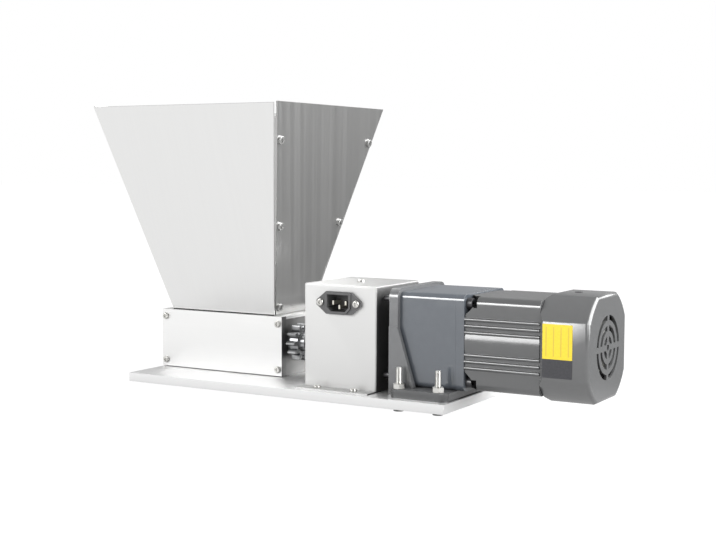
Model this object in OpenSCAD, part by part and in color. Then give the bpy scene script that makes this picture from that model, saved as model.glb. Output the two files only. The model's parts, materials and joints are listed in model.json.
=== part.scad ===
// Motor-driven two-roller grain mill on an aluminium base plate.
// A screwed sheet hopper feeds two geared rollers, a jaw coupling in the control box
// joins the front roller to a gear motor, and two thumb screws set the roller gap.
// Working frame of the sizes below: x from the left end of the base, y from its front
// edge, z from its top face. place() carries everything to the part's own frame.

/* [Base] */
// Thickness of the base plate
base_t = 9; // [6:0.5:14]
// Base plate left over to the right of the motor bracket
base_end_margin = 2.5; // [0:0.5:40]
// Base plate left over behind the mill
base_rear_margin = 18; // [5:1:60]
// Distance from the base's front edge to the mill
mill_setback = 56; // [48:1:80]
// Length of the discharge opening
discharge_l = 118; // [60:1:124]
// Depth of the discharge opening
discharge_d = 40; // [20:1:48]

/* [Fasteners] */
// Diameter of the base and gear head bolts
bolt_d = 6; // [5:0.5:7]
// Width across flats of the bolt heads and nuts
hex_af = 10; // [9:0.5:12]
// Height of the bolt heads that the mill stands on
bolt_head_h = 4; // [3:0.5:6]
// Height of a nut
nut_h = 5; // [4:0.5:7]
// Thread standing proud of the bracket nuts
thread_proud = 15; // [2:1:25]
// Depth of a base bolt in a mill side
mill_bolt_depth = 14; // [8:1:18]
// Diameter of the small screws
screw_d = 4; // [3:0.5:5]
// Head diameter of the small screws
screw_head_d = 7.2; // [6:0.2:9]
// Head height of the small screws
screw_head_h = 2.4; // [1.5:0.1:3.5]
// Length of the screws in the mill frame
mill_screw_l = 14; // [12:1:14]
// Length of the sheet metal screws
sheet_screw_l = 6; // [4:0.5:8]
// Clearance on the diameter of a plain hole
hole_clear = 0.6; // [0.3:0.1:1]
// Clearance on the diameter of a threaded or pressed seat
seat_clear = 0.04; // [0.02:0.02:0.1]
// Clearance on the diameter of a running fit
run_clear = 0.1; // [0.04:0.02:0.16]

/* [Mill] */
// Length of the mill along its rollers
mill_l = 154; // [140:1:200]
// Thickness of the front and rear plates
plate_t = 8; // [6:0.5:10]
// Shadow gap under the mill's front and rear plates
plate_lift = 0.8; // [0.4:0.1:1.5]
// Thickness of the side plates
side_t = 10; // [9:0.5:14]
// Thickness of the top plate
top_t = 3; // [2:0.5:5]
// Length of the feed slot in the top plate
slot_l = 104; // [60:1:106]
// Depth of the feed slot in the top plate
slot_d = 36; // [20:1:40]
// Space above the rollers
headroom = 8.125; // [5:0.125:20]
// Wall left in the front plate where the roller runs in its relief
front_wall = 2.5; // [1.5:0.5:6]
// Gap between the front roller and its relief
roller_clear = 0.625; // [0.4:0.025:1.5]
// Gap behind the rear roller when it is open
rear_clear = 2.925; // [1:0.025:8]
// Height of the frame screws from the top and bottom edges
mill_screw_inset = 7.5; // [6:0.5:12]

/* [Rollers] */
// Diameter of a roller
roller_d = 31.75; // [28:0.25:36]
// Gap between the rollers at rest
roller_gap = 1.25; // [0.5:0.05:2.5]
// How far the rear roller opens
gap_travel = 1.2; // [0.4:0.1:2]
// Room for the bearing flanges at each end of a roller
roller_end_gap = 4; // [3.5:0.25:8]
// Number of flutes on a roller
flutes = 24; // [8:1:36]
// Width of a flute
flute_w = 1.2; // [0.6:0.1:2]
// Depth of a flute
flute_depth = 0.8; // [0.4:0.1:1.5]
// Diameter of the roller journals
journal_d = 12; // [10:0.5:14]
// Wall of the bronze bushes
bush_wall = 2; // [1.5:0.25:3]
// Thickness of a bush flange or bearing block flange
flange_t = 2.5; // [1.5:0.25:3]
// Rim of a bush flange beyond the bush
bush_rim = 3; // [1:0.5:4]
// Height of a sliding bearing block
block_h = 26; // [22:0.5:32]
// Depth of a sliding bearing block
block_d = 26; // [22:0.5:28]
// Rim of a block flange above and below the block
block_rim = 3; // [2:0.5:4]
// Teeth on each roller gear
gear_teeth = 11; // [11:1:14]
// Face width of the roller gears
gear_face = 10; // [6:0.5:16]
// Tooth height above the pitch circle, in modules
gear_addendum = 0.87; // [0.7:0.01:0.95]
// Backlash of the roller gears
gear_backlash = 0.5; // [0.3:0.05:0.8]
// Hub between the mill side and a roller gear
hub_inner_l = 4.6; // [2:0.2:10]
// Hub on the far side of a roller gear
hub_outer_l = 6; // [3:0.5:12]
// Diameter of the gear hubs
hub_d = 20; // [17:0.5:24]
// Running gap between flat faces that turn or slide
face_gap = 0.4; // [0.3:0.05:0.8]

/* [Gap knobs] */
// Diameter of a thumb screw head
knob_d = 22; // [16:0.5:26]
// Length of a thumb screw head
knob_l = 14; // [8:0.5:20]
// Grip grooves on a thumb screw head
knob_grooves = 20; // [8:1:30]
// Diameter of a grip groove
knob_groove_d = 2.4; // [1:0.2:3]
// Thread diameter of a thumb screw
knob_thread_d = 6; // [5:0.5:8]
// Length of the thumb screw held in its bearing block
knob_hold = 4; // [3:0.5:4.5]
// Space between a thumb screw head and the rear plate
knob_gap = 1; // [0.5:0.1:4]

/* [Hopper] */
// Height of the hopper
hopper_h = 215; // [120:1:260]
// Length of the hopper's rim
hopper_top_l = 228.6; // [180:0.2:300]
// Depth of the hopper's rim
hopper_top_d = 214; // [160:1:280]
// Mill top showing at each end of the hopper
ledge_x = 12.3; // [11:0.1:20]
// Mill top showing in front of and behind the hopper
ledge_y = 4; // [2:0.5:8]
// Thickness of the hopper sheet
sheet_t = 1.5; // [0.8:0.1:2.5]
// Open slit between the hopper's panels at each corner
corner_slit = 2; // [0.5:0.1:4]
// Widening of the slit at the rim
corner_cut = 2.4; // [0.4:0.1:2.6]
// Rise of the side panels above the front and rear panels
rim_step = 1.5; // [0:0.25:4]
// Shadow gap under the hopper's panels
hopper_gap = 0.8; // [0.4:0.1:0.9]
// Width of the flanges behind the corners
corner_flange = 16; // [13:0.5:24]
// Distance from the rim to a corner flange
flange_drop = 15; // [5:0.5:40]
// Width of the lips that sit on the mill
lip_w = 12; // [11:0.5:13]
// Screws along each hopper corner
corner_screws = 3; // [2:1:5]
// Height of the lowest corner screw
corner_screw_low = 9; // [7:0.5:20]
// Distance from the rim to the highest corner screw
corner_screw_high = 37; // [25:1:60]

/* [Control box] */
// Clear space between the mill and the control box
box_gap = 47; // [40:1:80]
// Width of the control box
box_w = 81; // [76:1:120]
// Depth of the control box
box_d = 86; // [84:1:120]
// Height of the control box
box_h = 101.5; // [98:0.5:140]
// Distance from the base's front edge to the control box
box_setback = 25; // [22:1:28]
// Thickness of the control box sheet
box_t = 1.2; // [0.8:0.1:2]
// Outer radius of the control box's bends
box_bend_r = 2; // [1.5:0.25:3]
// Depth of the control box feet
box_foot = 17; // [14:0.5:20]
// Width of the shaft slots
shaft_slot_w = 22; // [18:0.5:30]
// Size of the tabs that hold the back panel
tab_size = 12; // [10:0.5:16]
// Height of the inlet's centre below the box top
inlet_drop = 17.5; // [16:0.5:24]
// Distance between the inlet's screws
inlet_pitch = 40; // [40:0.5:44]
// Width of the socket in the inlet
socket_w = 24; // [24:0.2:26]
// Height of the socket in the inlet
socket_h = 16.4; // [16:0.2:18]
// Depth of the socket in the inlet
socket_depth = 16; // [12:0.5:18]
// Wall of the inlet
inlet_wall = 1.8; // [1.4:0.1:2.5]
// Thickness of the inlet's flange
inlet_flange_t = 3; // [2:0.25:4]
// Length of the collar in front of the inlet's flange
collar_l = 1.5; // [0.5:0.25:2.5]
// Distance between the live and neutral pins
pin_pitch = 14; // [13:0.5:15]
// Drop of the earth pin
earth_drop = 4; // [3:0.5:5]
// Height of a pin
pin_h = 4; // [3:0.25:4.5]
// Width of a pin
pin_w = 2; // [1.5:0.1:2.4]
// Length of a pin inside the socket
pin_l = 14; // [10:0.5:15]
// Length of the tags behind the inlet
tag_l = 6; // [4:0.5:7]
// Width of the rocker switch
switch_w = 15; // [14:0.5:20]
// Height of the rocker switch
switch_h = 24; // [23:0.5:30]
// Depth of the switch behind the panel
switch_depth = 18; // [14:0.5:20]
// Thickness of the switch rim
switch_rim_t = 2; // [1.5:0.25:3]
// Radius of the rocker about its pivot
rocker_r = 9.2; // [8:0.1:9.6]
// Width of the rocker
rocker_w = 10; // [8:0.5:10]
// Tilt of the rocker to each side
rocker_tilt = 10; // [6:1:14]
// Diameter of the rocker's pivot pins
rocker_pin_d = 3; // [2:0.25:4]
// Diameter of the capacitor
cap_d = 28; // [20:0.5:30]
// Length of the capacitor
cap_l = 55; // [30:1:60]
// Depth of the capacitor's axis behind the box front
cap_back = 41; // [40:0.5:50]
// Width of the capacitor's strap
strap_w = 10; // [8:0.5:14]
// Thickness of the capacitor's strap
strap_t = 1.2; // [0.8:0.1:2]
// Length of the terminal block
terminal_l = 40; // [30:1:50]
// Depth of the terminal block
terminal_d = 14; // [12:0.5:16]
// Height of the terminal block
terminal_h = 14; // [10:0.5:18]

/* [Coupling] */
// Diameter of the jaw coupling
coupling_d = 40; // [36:0.5:44]
// Length of each coupling hub
coupling_hub_l = 22; // [18:0.5:24]
// Length of the coupling jaws
jaw_l = 12; // [8:0.5:14]
// Angle taken by one jaw
jaw_angle = 50; // [40:1:52]
// Angle left free on each side of a spider leg
spider_free = 0.5; // [0.2:0.1:1]
// Radius of the hollow inside the jaws
jaw_inner_r = 9; // [8.5:0.25:11]
// Space between the coupling and the control box wall
coupling_gap = 5; // [3:0.5:10]

/* [Gear head] */
// Clear space between the control box and the motor bracket
bracket_gap = 14; // [10:0.5:30]
// Thickness of the bracket's upright plate
bracket_t = 9; // [6:0.5:12]
// Width of the bracket's upright plate
bracket_w = 102; // [100:1:120]
// Height of the bracket
bracket_h = 101; // [100:1:120]
// Corner radius of the bracket's upright plate
bracket_r = 9; // [3:0.5:12]
// Step in the bracket's edge above the gussets
bracket_step = 1; // [0.5:0.25:2]
// Thickness of the bracket's foot
foot_t = 8; // [6:0.5:12]
// Length of the foot along the motor
foot_l = 60; // [56:1:80]
// Depth of the foot across the motor
foot_d = 130; // [130:1:150]
// Step from the upright's left face to the foot
foot_step = 7.5; // [0:0.5:8]
// Distance between the foot's bolts along the motor
foot_bolt_x = 41; // [36:1:44]
// Distance between the foot's bolts across the motor
foot_bolt_y = 116; // [116:1:118]
// First foot bolt from the foot's left end
foot_bolt_inset = 7.5; // [6.5:0.5:9]
// Thickness of a gusset
gusset_t = 4.5; // [3:0.5:5.5]
// Height of a gusset's top above the base
gusset_h = 65; // [30:1:80]
// Reach of a gusset along the foot
gusset_l = 18; // [10:1:40]
// Width and height of the gear head
gear_size = 90; // [90:1:96]
// Edge radius of the gear head
gear_edge_r = 6; // [3:0.5:7]
// Length of the gear case
case_l = 58; // [58:0.5:70]
// Thickness of the gear case's end wall
case_wall = 10; // [10:0.5:12]
// Diameter of the gear case's cavity
case_bore = 82; // [81:0.5:83]
// Distance between the gear head bolts
bolt_pitch = 73.5; // [73:0.5:75]
// Drop of the output shaft below the motor's axis
shaft_drop = 18; // [17.5:0.25:18.5]
// Diameter of the output shaft
output_d = 15; // [14:0.5:16]
// Outer diameter of the output bearing
output_bearing_d = 28; // [26:0.5:30]
// Width of the output bearing
output_bearing_w = 7; // [6.5:0.5:8]
// Module of the gears in the gear head
fine_module = 1; // [0.98:0.01:1.02]
// Teeth on the small gears in the gear head
pinion_teeth = 13; // [13:1:13]
// Teeth on the large gears in the gear head
wheel_teeth = 32; // [32:1:32]
// Backlash of the gears in the gear head
fine_backlash = 0.35; // [0.2:0.05:0.5]
// Face width of the output gear
output_face = 12; // [8:0.5:12]
// Face width of the first stage gear
first_face = 10; // [6:0.5:10]
// Thickness of the plate between the two gear stages
mid_t = 6; // [5:0.5:7]
// Diameter of the cluster gear's shaft
cluster_d = 8; // [6:0.5:8]

/* [Motor] */
// Thickness of the motor flange
motor_flange_t = 8.5; // [7:0.5:10]
// Length of the stator housing
housing_l = 79.5; // [79:0.5:110]
// Width and height of the stator housing
housing_size = 87; // [86:0.5:88]
// Corner radius of the stator housing
housing_r = 7; // [5:0.5:10]
// Bore of the stator housing
housing_bore = 78; // [76:0.5:79]
// Radius of the recess around a gear head bolt
recess_r = 7.5; // [6.5:0.25:8.5]
// Length of the recess around a gear head bolt
recess_l = 12; // [10:0.5:18]
// Length of the flare at the mouth of the recess
flare_l = 7; // [4:0.5:9]
// Ribs in each group on the housing's sides
rib_count = 3; // [1:1:4]
// Height of the first rib from the motor's axis
rib_first = 10.5; // [6:0.5:14]
// Distance between neighbouring ribs
rib_pitch = 6; // [4:0.5:6]
// Diameter of a rib
rib_d = 3.4; // [2:0.2:4]
// Diameter of the housing's round body, which shows between the ribs
barrel_d = 88.8; // [87.6:0.1:89.4]
// Diameter of the motor shaft
motor_shaft_d = 12; // [10:0.5:13]
// Outer diameter of the motor bearings
motor_bearing_d = 32; // [28:0.5:35]
// Width of the motor bearings
motor_bearing_w = 10; // [8:0.5:10]
// Length of the stator and rotor cores
core_l = 45; // [30:1:46]
// Diameter of the rotor
rotor_d = 45; // [40:0.5:50]
// Air gap around the rotor
air_gap = 0.5; // [0.4:0.05:1]
// Length of the winding ends
winding_l = 8.5; // [8:0.5:9]
// Overlap of the fan cover on the housing
cover_overlap = 5; // [3:0.5:8]
// Length of the fan cover
cover_l = 47.5; // [47:0.5:60]
// Width and height of the fan cover
cover_size = 97; // [96:0.5:97.5]
// Diameter to which the fan cover's corners are rounded
cover_round_d = 109.5; // [109:0.5:112]
// Wall of the fan cover
cover_wall = 2; // [1.5:0.1:2.5]
// Bevel at the open end of the fan cover
cover_bevel = 4; // [2:0.25:4]
// Edge radius at the closed end of the fan cover
cover_edge_r = 4; // [2:0.25:6]
// Radius of the outermost vent slot
vent_r = 29.5; // [28:0.5:32]
// Width of a vent slot
vent_slot = 4.75; // [3:0.25:5]
// Bar between two rings of vent slots
vent_bar = 4.75; // [3:0.25:5]
// Diameter of the hole in the middle of the vent
vent_hole_d = 5.5; // [3:0.5:6]
// Rings of vent slots
vent_rings = 3; // [1:1:3]
// Width of the spokes across the vent
spoke_w = 5; // [3:0.5:8]
// Diameter of the cooling fan
fan_d = 74; // [50:1:76]
// Blades on the cooling fan
fan_blades = 8; // [5:1:12]
// Length of a fan blade along the shaft
fan_l = 12; // [8:0.5:13]
// Length of the rating label
label_l = 28; // [15:1:32]
// Height of the rating label
label_h = 48; // [20:1:48]
// Thickness of the rating label
label_t = 0.3; // [0.2:0.1:0.5]

/* [Hidden] */
$fn = 64;
eps = 0.01;
pressure_angle = 25;
root_depth = 1.2;
fine_addendum = 0.9;

// Heights and depths of the shafts
motor_z = foot_t + gear_size / 2;
axis_z = motor_z - shaft_drop;
drive_y = mill_setback + front_wall + roller_clear + roller_d / 2;
pair_a = roller_d + roller_gap;
driven_y = drive_y + pair_a;
nip_y = drive_y + pair_a / 2;
cluster_a = fine_module * (pinion_teeth + wheel_teeth) / 2;
cluster_y = drive_y + sqrt(cluster_a * cluster_a - shaft_drop * shaft_drop / 4);
cluster_z = motor_z - shaft_drop / 2;

// Mill
mill_in_y = mill_setback + plate_t;
mill_in_d = driven_y + gap_travel + roller_d / 2 + rear_clear - mill_in_y;
mill_rear_y = mill_in_y + mill_in_d;
mill_d = mill_in_d + 2 * plate_t;
mill_h = axis_z + roller_d / 2 + headroom + top_t;
side_h = mill_h - top_t;
roller_x = side_t + roller_end_gap;
roller_l = mill_l - 2 * roller_x;
bush_d = journal_d + 2 * bush_wall;
gear_x = mill_l + face_gap + hub_inner_l;
gear_end_x = gear_x + gear_face + hub_outer_l;
gear_module = pair_a / gear_teeth;
knob_x = side_t / 2;
block_y = driven_y - block_d / 2;

// Hopper
hopper_x = mill_l / 2;
hopper_y = mill_setback + mill_d / 2;
hopper_bot_l = mill_l - 2 * ledge_x;
hopper_bot_d = mill_d - 2 * ledge_y;
run_x = (hopper_top_l - hopper_bot_l) / 2;
run_y = (hopper_top_d - hopper_bot_d) / 2;
slope_x = sqrt(run_x * run_x + hopper_h * hopper_h);
slope_y = sqrt(run_y * run_y + hopper_h * hopper_h);
panel_inset = sheet_t * slope_y / hopper_h + corner_slit;
corner_screw_in = (corner_flange + panel_inset) / 2;
corner_screw_step = (slope_x - corner_screw_high - corner_screw_low) / (corner_screws - 1);

// Control box and coupling
box_x = mill_l + box_gap;
box_rear_y = box_setback + box_d;
box_mid_x = box_x + box_w / 2;
inlet_z = box_h - inlet_drop;
inlet_body_w = socket_w + 2 * inlet_wall;
inlet_body_h = socket_h + 2 * inlet_wall;
switch_x = box_x + box_w - switch_w - tab_size;
switch_z = inlet_z - switch_h / 4;
rocker_y = box_rear_y + box_t + switch_rim_t;
cap_x = box_x + (box_w - cap_l) / 2;
cap_y = box_setback + cap_back;
cap_z = box_h - box_t - 1.5 * strap_t - cap_d / 2;
terminal_y = box_setback + box_t + coupling_gap;
hub_mill_x = box_x + box_t + coupling_gap;
jaw_x = hub_mill_x + coupling_hub_l;
hub_motor_x = jaw_x + jaw_l;
box_screw_x = box_w / 4;

// Gear head
bracket_x = box_x + box_w + bracket_gap;
case_x = bracket_x + bracket_t;
foot_x = bracket_x + foot_step;
base_l = foot_x + foot_l + base_end_margin;
base_d = mill_setback + mill_d + base_rear_margin;
stage_gap = 2;
output_gear_x = case_x + case_wall + stage_gap;
mid_x = output_gear_x + output_face + stage_gap;
first_x = mid_x + mid_t + stage_gap;
cluster_seat = case_wall - stage_gap;
cluster_seat_x = case_x + stage_gap;
output_bearing_x = case_x + case_wall - output_bearing_w;
cluster_bush_d = cluster_d + 2 * bush_wall;
mesh_angle = atan2(cluster_z - motor_z, cluster_y - drive_y);
half_tooth = 180 / wheel_teeth;

// Motor
flange_x = case_x + case_l;
housing_x = flange_x + motor_flange_t;
housing_end = housing_x + housing_l;
flare_r = bolt_pitch / sqrt(2) - housing_bore / 2 - face_gap;
core_x = housing_x + (housing_l - core_l) / 2;
front_bearing_x = housing_x - motor_bearing_w / 2;
shield_t = 4;
rear_bearing_x = housing_end - motor_bearing_w + shield_t;
cover_x = housing_end - cover_overlap;
cover_end = cover_x + cover_l;
cover_in_d = cover_round_d - 2 * cover_wall;
cover_screw_x = cover_x + cover_l * 2 / 5;
post_l = cover_screw_x + screw_d - housing_end;
post_top = cover_size / 2 - cover_wall;
fan_x = cover_end - cover_wall - fan_l - 3 * stage_gap;
shaft_end = fan_x + fan_l;

// The part's own frame: middle of its box, on the bolt heads
stand_h = base_t + bolt_head_h;
origin_x = (hopper_x - hopper_top_l / 2 + cover_end) / 2;
origin_y = hopper_y;

// Helpers

module place() {
    translate([-origin_x, -origin_y, stand_h]) children();
}

module rod_x(x, len, d, y, z) {
    translate([x, y, z]) rotate([0, 90, 0]) cylinder(h = len, d = d);
}

module rod_y(y, len, d, x, z) {
    translate([x, y, z]) rotate([-90, 0, 0]) cylinder(h = len, d = d);
}

module rod_z(z, len, d, x, y) {
    translate([x, y, z]) cylinder(h = len, d = d);
}

// Runs an outline drawn in (y, z) along x
module along_x(x, len, y = 0, z = 0) {
    translate([x, y, z]) rotate([90, 0, 90]) linear_extrude(len) children();
}

// Runs an outline drawn in (x, z) along y
module along_y(y, len) {
    translate([0, y + len, 0]) rotate([90, 0, 0]) linear_extrude(len) children();
}

// Hexagon with its flats top and bottom
module hexagon(af) {
    circle(d = af / cos(30), $fn = 6);
}

module round_rect(w, h, r) {
    square([w - 2 * r, h], center = true);
    square([w, h - 2 * r], center = true);
    for (sx = [-1, 1], sy = [-1, 1]) {
        translate([sx * (w / 2 - r), sy * (h / 2 - r)]) circle(r);
    }
}

// What is taken off a corner to round it
module corner_off(r) {
    difference() {
        square(2 * r);
        circle(r);
    }
}

module ring(d_out, d_in) {
    difference() {
        circle(d = d_out);
        circle(d = d_in);
    }
}

// Part of a ring between two radii, centred on angle 0
module ring_part(r_in, r_out, angle) {
    reach = 2 * r_out;
    intersection() {
        ring(2 * r_out, 2 * r_in);
        polygon([
            [0, 0],
            reach * [cos(angle / 2), -sin(angle / 2)],
            reach * [1, 0],
            reach * [cos(angle / 2), sin(angle / 2)]
        ]);
    }
}

// Small screw pointing along -z with the underside of its head at z = 0
module small_screw(len) {
    cylinder(h = screw_head_h, d = screw_head_d);
    translate([0, 0, -len]) cylinder(h = len + eps, d = screw_d);
}

// Involute gears

function involute(r, base_r) =
    let (t = sqrt(max(0, r * r / (base_r * base_r) - 1))) t * 180 / PI - atan(t);

function tooth_half_angle(r, teeth, m, backlash, base_r) =
    let (pitch_r = m * teeth / 2)
    90 / teeth - backlash / pitch_r * 45 / PI + involute(pitch_r, base_r)
        - involute(max(r, base_r), base_r);

// Flank of one tooth as [radius, half angle], from the root to the tip
function flank(teeth, m, addendum, backlash, steps) =
    let (
        pitch_r = m * teeth / 2,
        base_r = pitch_r * cos(pressure_angle),
        root_r = pitch_r - root_depth * m,
        tip_r = pitch_r + addendum * m,
        low_r = max(base_r, root_r)
    )
    concat(
        [[root_r, tooth_half_angle(low_r, teeth, m, backlash, base_r)]],
        [
            for (i = [0 : steps])
                let (r = low_r + (tip_r - low_r) * i / steps)
                [r, tooth_half_angle(r, teeth, m, backlash, base_r)]
        ]
    );

// Gear outline with the middle of a tooth on angle 0
module gear_outline(teeth, m, addendum, backlash, steps) {
    side = flank(teeth, m, addendum, backlash, steps);
    last = len(side) - 1;
    polygon([
        for (tooth = [0 : teeth - 1], up = [1, 0], i = [0 : last])
            let (
                p = side[up == 1 ? i : last - i],
                a = tooth * 360 / teeth + (up == 1 ? -p[1] : p[1])
            )
            p[0] * [cos(a), sin(a)]
    ]);
}

module fine_gear(teeth, turn) {
    rotate(turn) gear_outline(teeth, fine_module, fine_addendum, fine_backlash, 2);
}

// Base

module bracket_bolt_places() {
    for (x = [0, foot_bolt_x], y = [-1, 1]) {
        translate([foot_x + foot_bolt_inset + x, drive_y + y * foot_bolt_y / 2, 0]) children();
    }
}

module mill_bolt_places() {
    for (x = [side_t / 2, mill_l - side_t / 2], y = [side_t, mill_in_d - side_t]) {
        translate([x, mill_in_y + y, 0]) children();
    }
}

module box_foot_places() {
    for (x = [-1, 1], y = [box_setback - box_foot / 2, box_rear_y + box_t + box_foot / 2]) {
        translate([box_mid_x + x * box_screw_x, y, 0]) children();
    }
}

module terminal_screw_places() {
    for (x = [-1, 1]) {
        translate([box_mid_x + x * terminal_l * 3 / 8, terminal_y + terminal_d / 2, 0]) children();
    }
}

module base_plate() {
    color("gainsboro") place() difference() {
        translate([0, 0, -base_t]) cube([base_l, base_d, base_t]);
        translate([hopper_x - discharge_l / 2, nip_y - discharge_d / 2, -base_t - eps])
            cube([discharge_l, discharge_d, base_t + 2 * eps]);
        bracket_bolt_places() rod_z(-base_t - eps, base_t + 2 * eps, bolt_d + hole_clear, 0, 0);
        mill_bolt_places() rod_z(-base_t - eps, base_t + 2 * eps, bolt_d + hole_clear, 0, 0);
        box_foot_places() rod_z(-sheet_screw_l, sheet_screw_l + eps, screw_d + seat_clear, 0, 0);
        terminal_screw_places()
            rod_z(-sheet_screw_l, sheet_screw_l + eps, screw_d + seat_clear, 0, 0);
    }
}

module base_bolt(len) {
    translate([0, 0, -base_t - bolt_head_h]) linear_extrude(bolt_head_h) hexagon(hex_af);
    rod_z(-base_t - eps, len + base_t + eps, bolt_d, 0, 0);
}

module base_bolts() {
    color("silver") place() {
        bracket_bolt_places() base_bolt(foot_t + nut_h + thread_proud);
        mill_bolt_places() base_bolt(mill_bolt_depth);
    }
}

module gearbox_bolt_places() {
    for (y = [-1, 1], z = [-1, 1]) {
        translate([0, drive_y + y * bolt_pitch / 2, motor_z + z * bolt_pitch / 2]) children();
    }
}

module nut_outline() {
    difference() {
        hexagon(hex_af);
        circle(d = bolt_d + seat_clear);
    }
}

module hex_nuts() {
    color("silver") place() {
        bracket_bolt_places() translate([0, 0, foot_t]) linear_extrude(nut_h) nut_outline();
        gearbox_bolt_places() along_x(bracket_x - nut_h, nut_h) nut_outline();
    }
}

// Mill frame

module mill_screw_places() {
    for (x = [side_t / 2, mill_l - side_t / 2], z = [mill_screw_inset, mill_h - mill_screw_inset]) {
        translate([x, 0, z]) children();
    }
}

module top_screw_places() {
    for (x = [side_t / 2, mill_l - side_t / 2], y = [1, 2]) {
        translate([x, mill_in_y + y * mill_in_d / 3, 0]) children();
    }
}

module mill_front_plate() {
    color("whitesmoke") place() difference() {
        translate([0, mill_setback, plate_lift]) cube([mill_l, plate_t, mill_h - plate_lift]);
        rod_x(side_t, mill_l - 2 * side_t, roller_d + 2 * roller_clear, drive_y, axis_z);
        mill_screw_places() rod_y(mill_setback - eps, plate_t + 2 * eps, screw_d + hole_clear, 0, 0);
    }
}

module knob_places() {
    for (x = [knob_x, mill_l - knob_x]) {
        translate([x, 0, axis_z]) children();
    }
}

module mill_rear_plate() {
    color("whitesmoke") place() difference() {
        translate([0, mill_rear_y, plate_lift]) cube([mill_l, plate_t, mill_h - plate_lift]);
        mill_screw_places() rod_y(mill_rear_y - eps, plate_t + 2 * eps, screw_d + hole_clear, 0, 0);
        knob_places() rod_y(mill_rear_y - eps, plate_t + 2 * eps, knob_thread_d + run_clear, 0, 0);
    }
}

// Side plate with the drive bush seat and the open slot of the sliding block
module mill_side(x) {
    color("lightgray") place() difference() {
        translate([x, mill_in_y, 0]) cube([side_t, mill_in_d, side_h]);
        rod_x(x - eps, side_t + 2 * eps, bush_d + seat_clear, drive_y, axis_z);
        translate([x - eps, block_y - face_gap, axis_z - block_h / 2 - run_clear / 2])
            cube([side_t + 2 * eps, mill_in_d, block_h + run_clear]);
        mill_screw_places()
            rod_y(mill_in_y - eps, mill_screw_l - plate_t + eps, screw_d + seat_clear, 0, 0);
        mill_screw_places()
            rod_y(mill_rear_y - mill_screw_l + plate_t, mill_screw_l, screw_d + seat_clear, 0, 0);
        mill_bolt_places() rod_z(-eps, mill_bolt_depth + eps, bolt_d + seat_clear, 0, 0);
        top_screw_places() rod_z(mill_h - sheet_screw_l, sheet_screw_l, screw_d + seat_clear, 0, 0);
    }
}

module mill_side_left() {
    mill_side(0);
}

module mill_side_right() {
    mill_side(mill_l - side_t);
}

module lip_screw_places() {
    for (x = [-1, 0, 1], y = [-1, 1]) {
        translate([
            hopper_x + x * hopper_bot_l / 3,
            hopper_y + y * (hopper_bot_d / 2 - lip_w + screw_head_d / 2),
            mill_h
        ]) children();
    }
}

module mill_top_plate() {
    color("lightgray") place() difference() {
        translate([0, mill_in_y, side_h]) cube([mill_l, mill_in_d, top_t]);
        translate([hopper_x - slot_l / 2, nip_y - slot_d / 2, side_h - eps])
            cube([slot_l, slot_d, top_t + 2 * eps]);
        top_screw_places() flat_screw(hole_clear);
        lip_screw_places() rod_z(-top_t - eps, top_t + 2 * eps, screw_d + seat_clear, 0, 0);
    }
}

// Flat-head screw sunk into the mill's top
module flat_screw(clear) {
    sink = (screw_head_d - screw_d) / 2;
    translate([0, 0, mill_h - sink]) cylinder(h = sink, d1 = screw_d + clear, d2 = screw_head_d + clear);
    rod_z(mill_h - sheet_screw_l + seat_clear, sheet_screw_l - sink, screw_d + clear, 0, 0);
}

module mill_screws() {
    color("silver") place() {
        mill_screw_places() translate([0, mill_setback, 0]) rotate([90, 0, 0])
            small_screw(mill_screw_l);
        mill_screw_places() translate([0, mill_rear_y + plate_t, 0]) rotate([-90, 0, 0])
            small_screw(mill_screw_l);
        top_screw_places() flat_screw(0);
    }
}

// Rollers, gears and bearings

module roller(y, shaft_x, shaft_end_x) {
    difference() {
        rod_x(roller_x, roller_l, roller_d, y, axis_z);
        for (i = [0 : flutes - 1]) {
            translate([roller_x - eps, y, axis_z]) rotate([i * 360 / flutes, 0, 0])
                translate([0, roller_d / 2 - flute_depth, -flute_w / 2])
                    cube([roller_l + 2 * eps, flute_depth + 1, flute_w]);
        }
    }
    rod_x(shaft_x, shaft_end_x - shaft_x, journal_d, y, axis_z);
}

module drive_roller() {
    color("slategray") place() roller(drive_y, face_gap, jaw_x - stage_gap);
}

module driven_roller() {
    color("slategray") place() roller(driven_y, face_gap, gear_end_x);
}

// Roller gear with a tooth towards the front and a hub on each side
module roller_gear(y) {
    difference() {
        union() {
            along_x(gear_x, gear_face, y, axis_z) rotate(180)
                gear_outline(gear_teeth, gear_module, gear_addendum, gear_backlash, 4);
            rod_x(gear_x - hub_inner_l, gear_end_x - gear_x + hub_inner_l, hub_d, y, axis_z);
        }
        rod_x(gear_x - hub_inner_l - eps, gear_end_x, journal_d + seat_clear, y, axis_z);
    }
}

module drive_gear() {
    color("silver") place() roller_gear(drive_y);
}

module driven_gear() {
    color("silver") place() roller_gear(driven_y);
}

// Flanged bush in a side plate or block, its flange towards the roller
module flanged_bush(x, dir, y, flange) {
    translate([x, y, axis_z]) rotate([0, dir * 90, 0]) difference() {
        union() {
            cylinder(h = side_t, d = bush_d);
            translate([0, 0, side_t]) cylinder(h = flange, d = bush_d + 2 * bush_rim);
        }
        translate([0, 0, -eps]) cylinder(h = side_t + flange + 2 * eps, d = journal_d + run_clear);
    }
}

module drive_bushes() {
    color("peru") place() {
        flanged_bush(0, 1, drive_y, flange_t);
        flanged_bush(mill_l, -1, drive_y, flange_t);
    }
}

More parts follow.
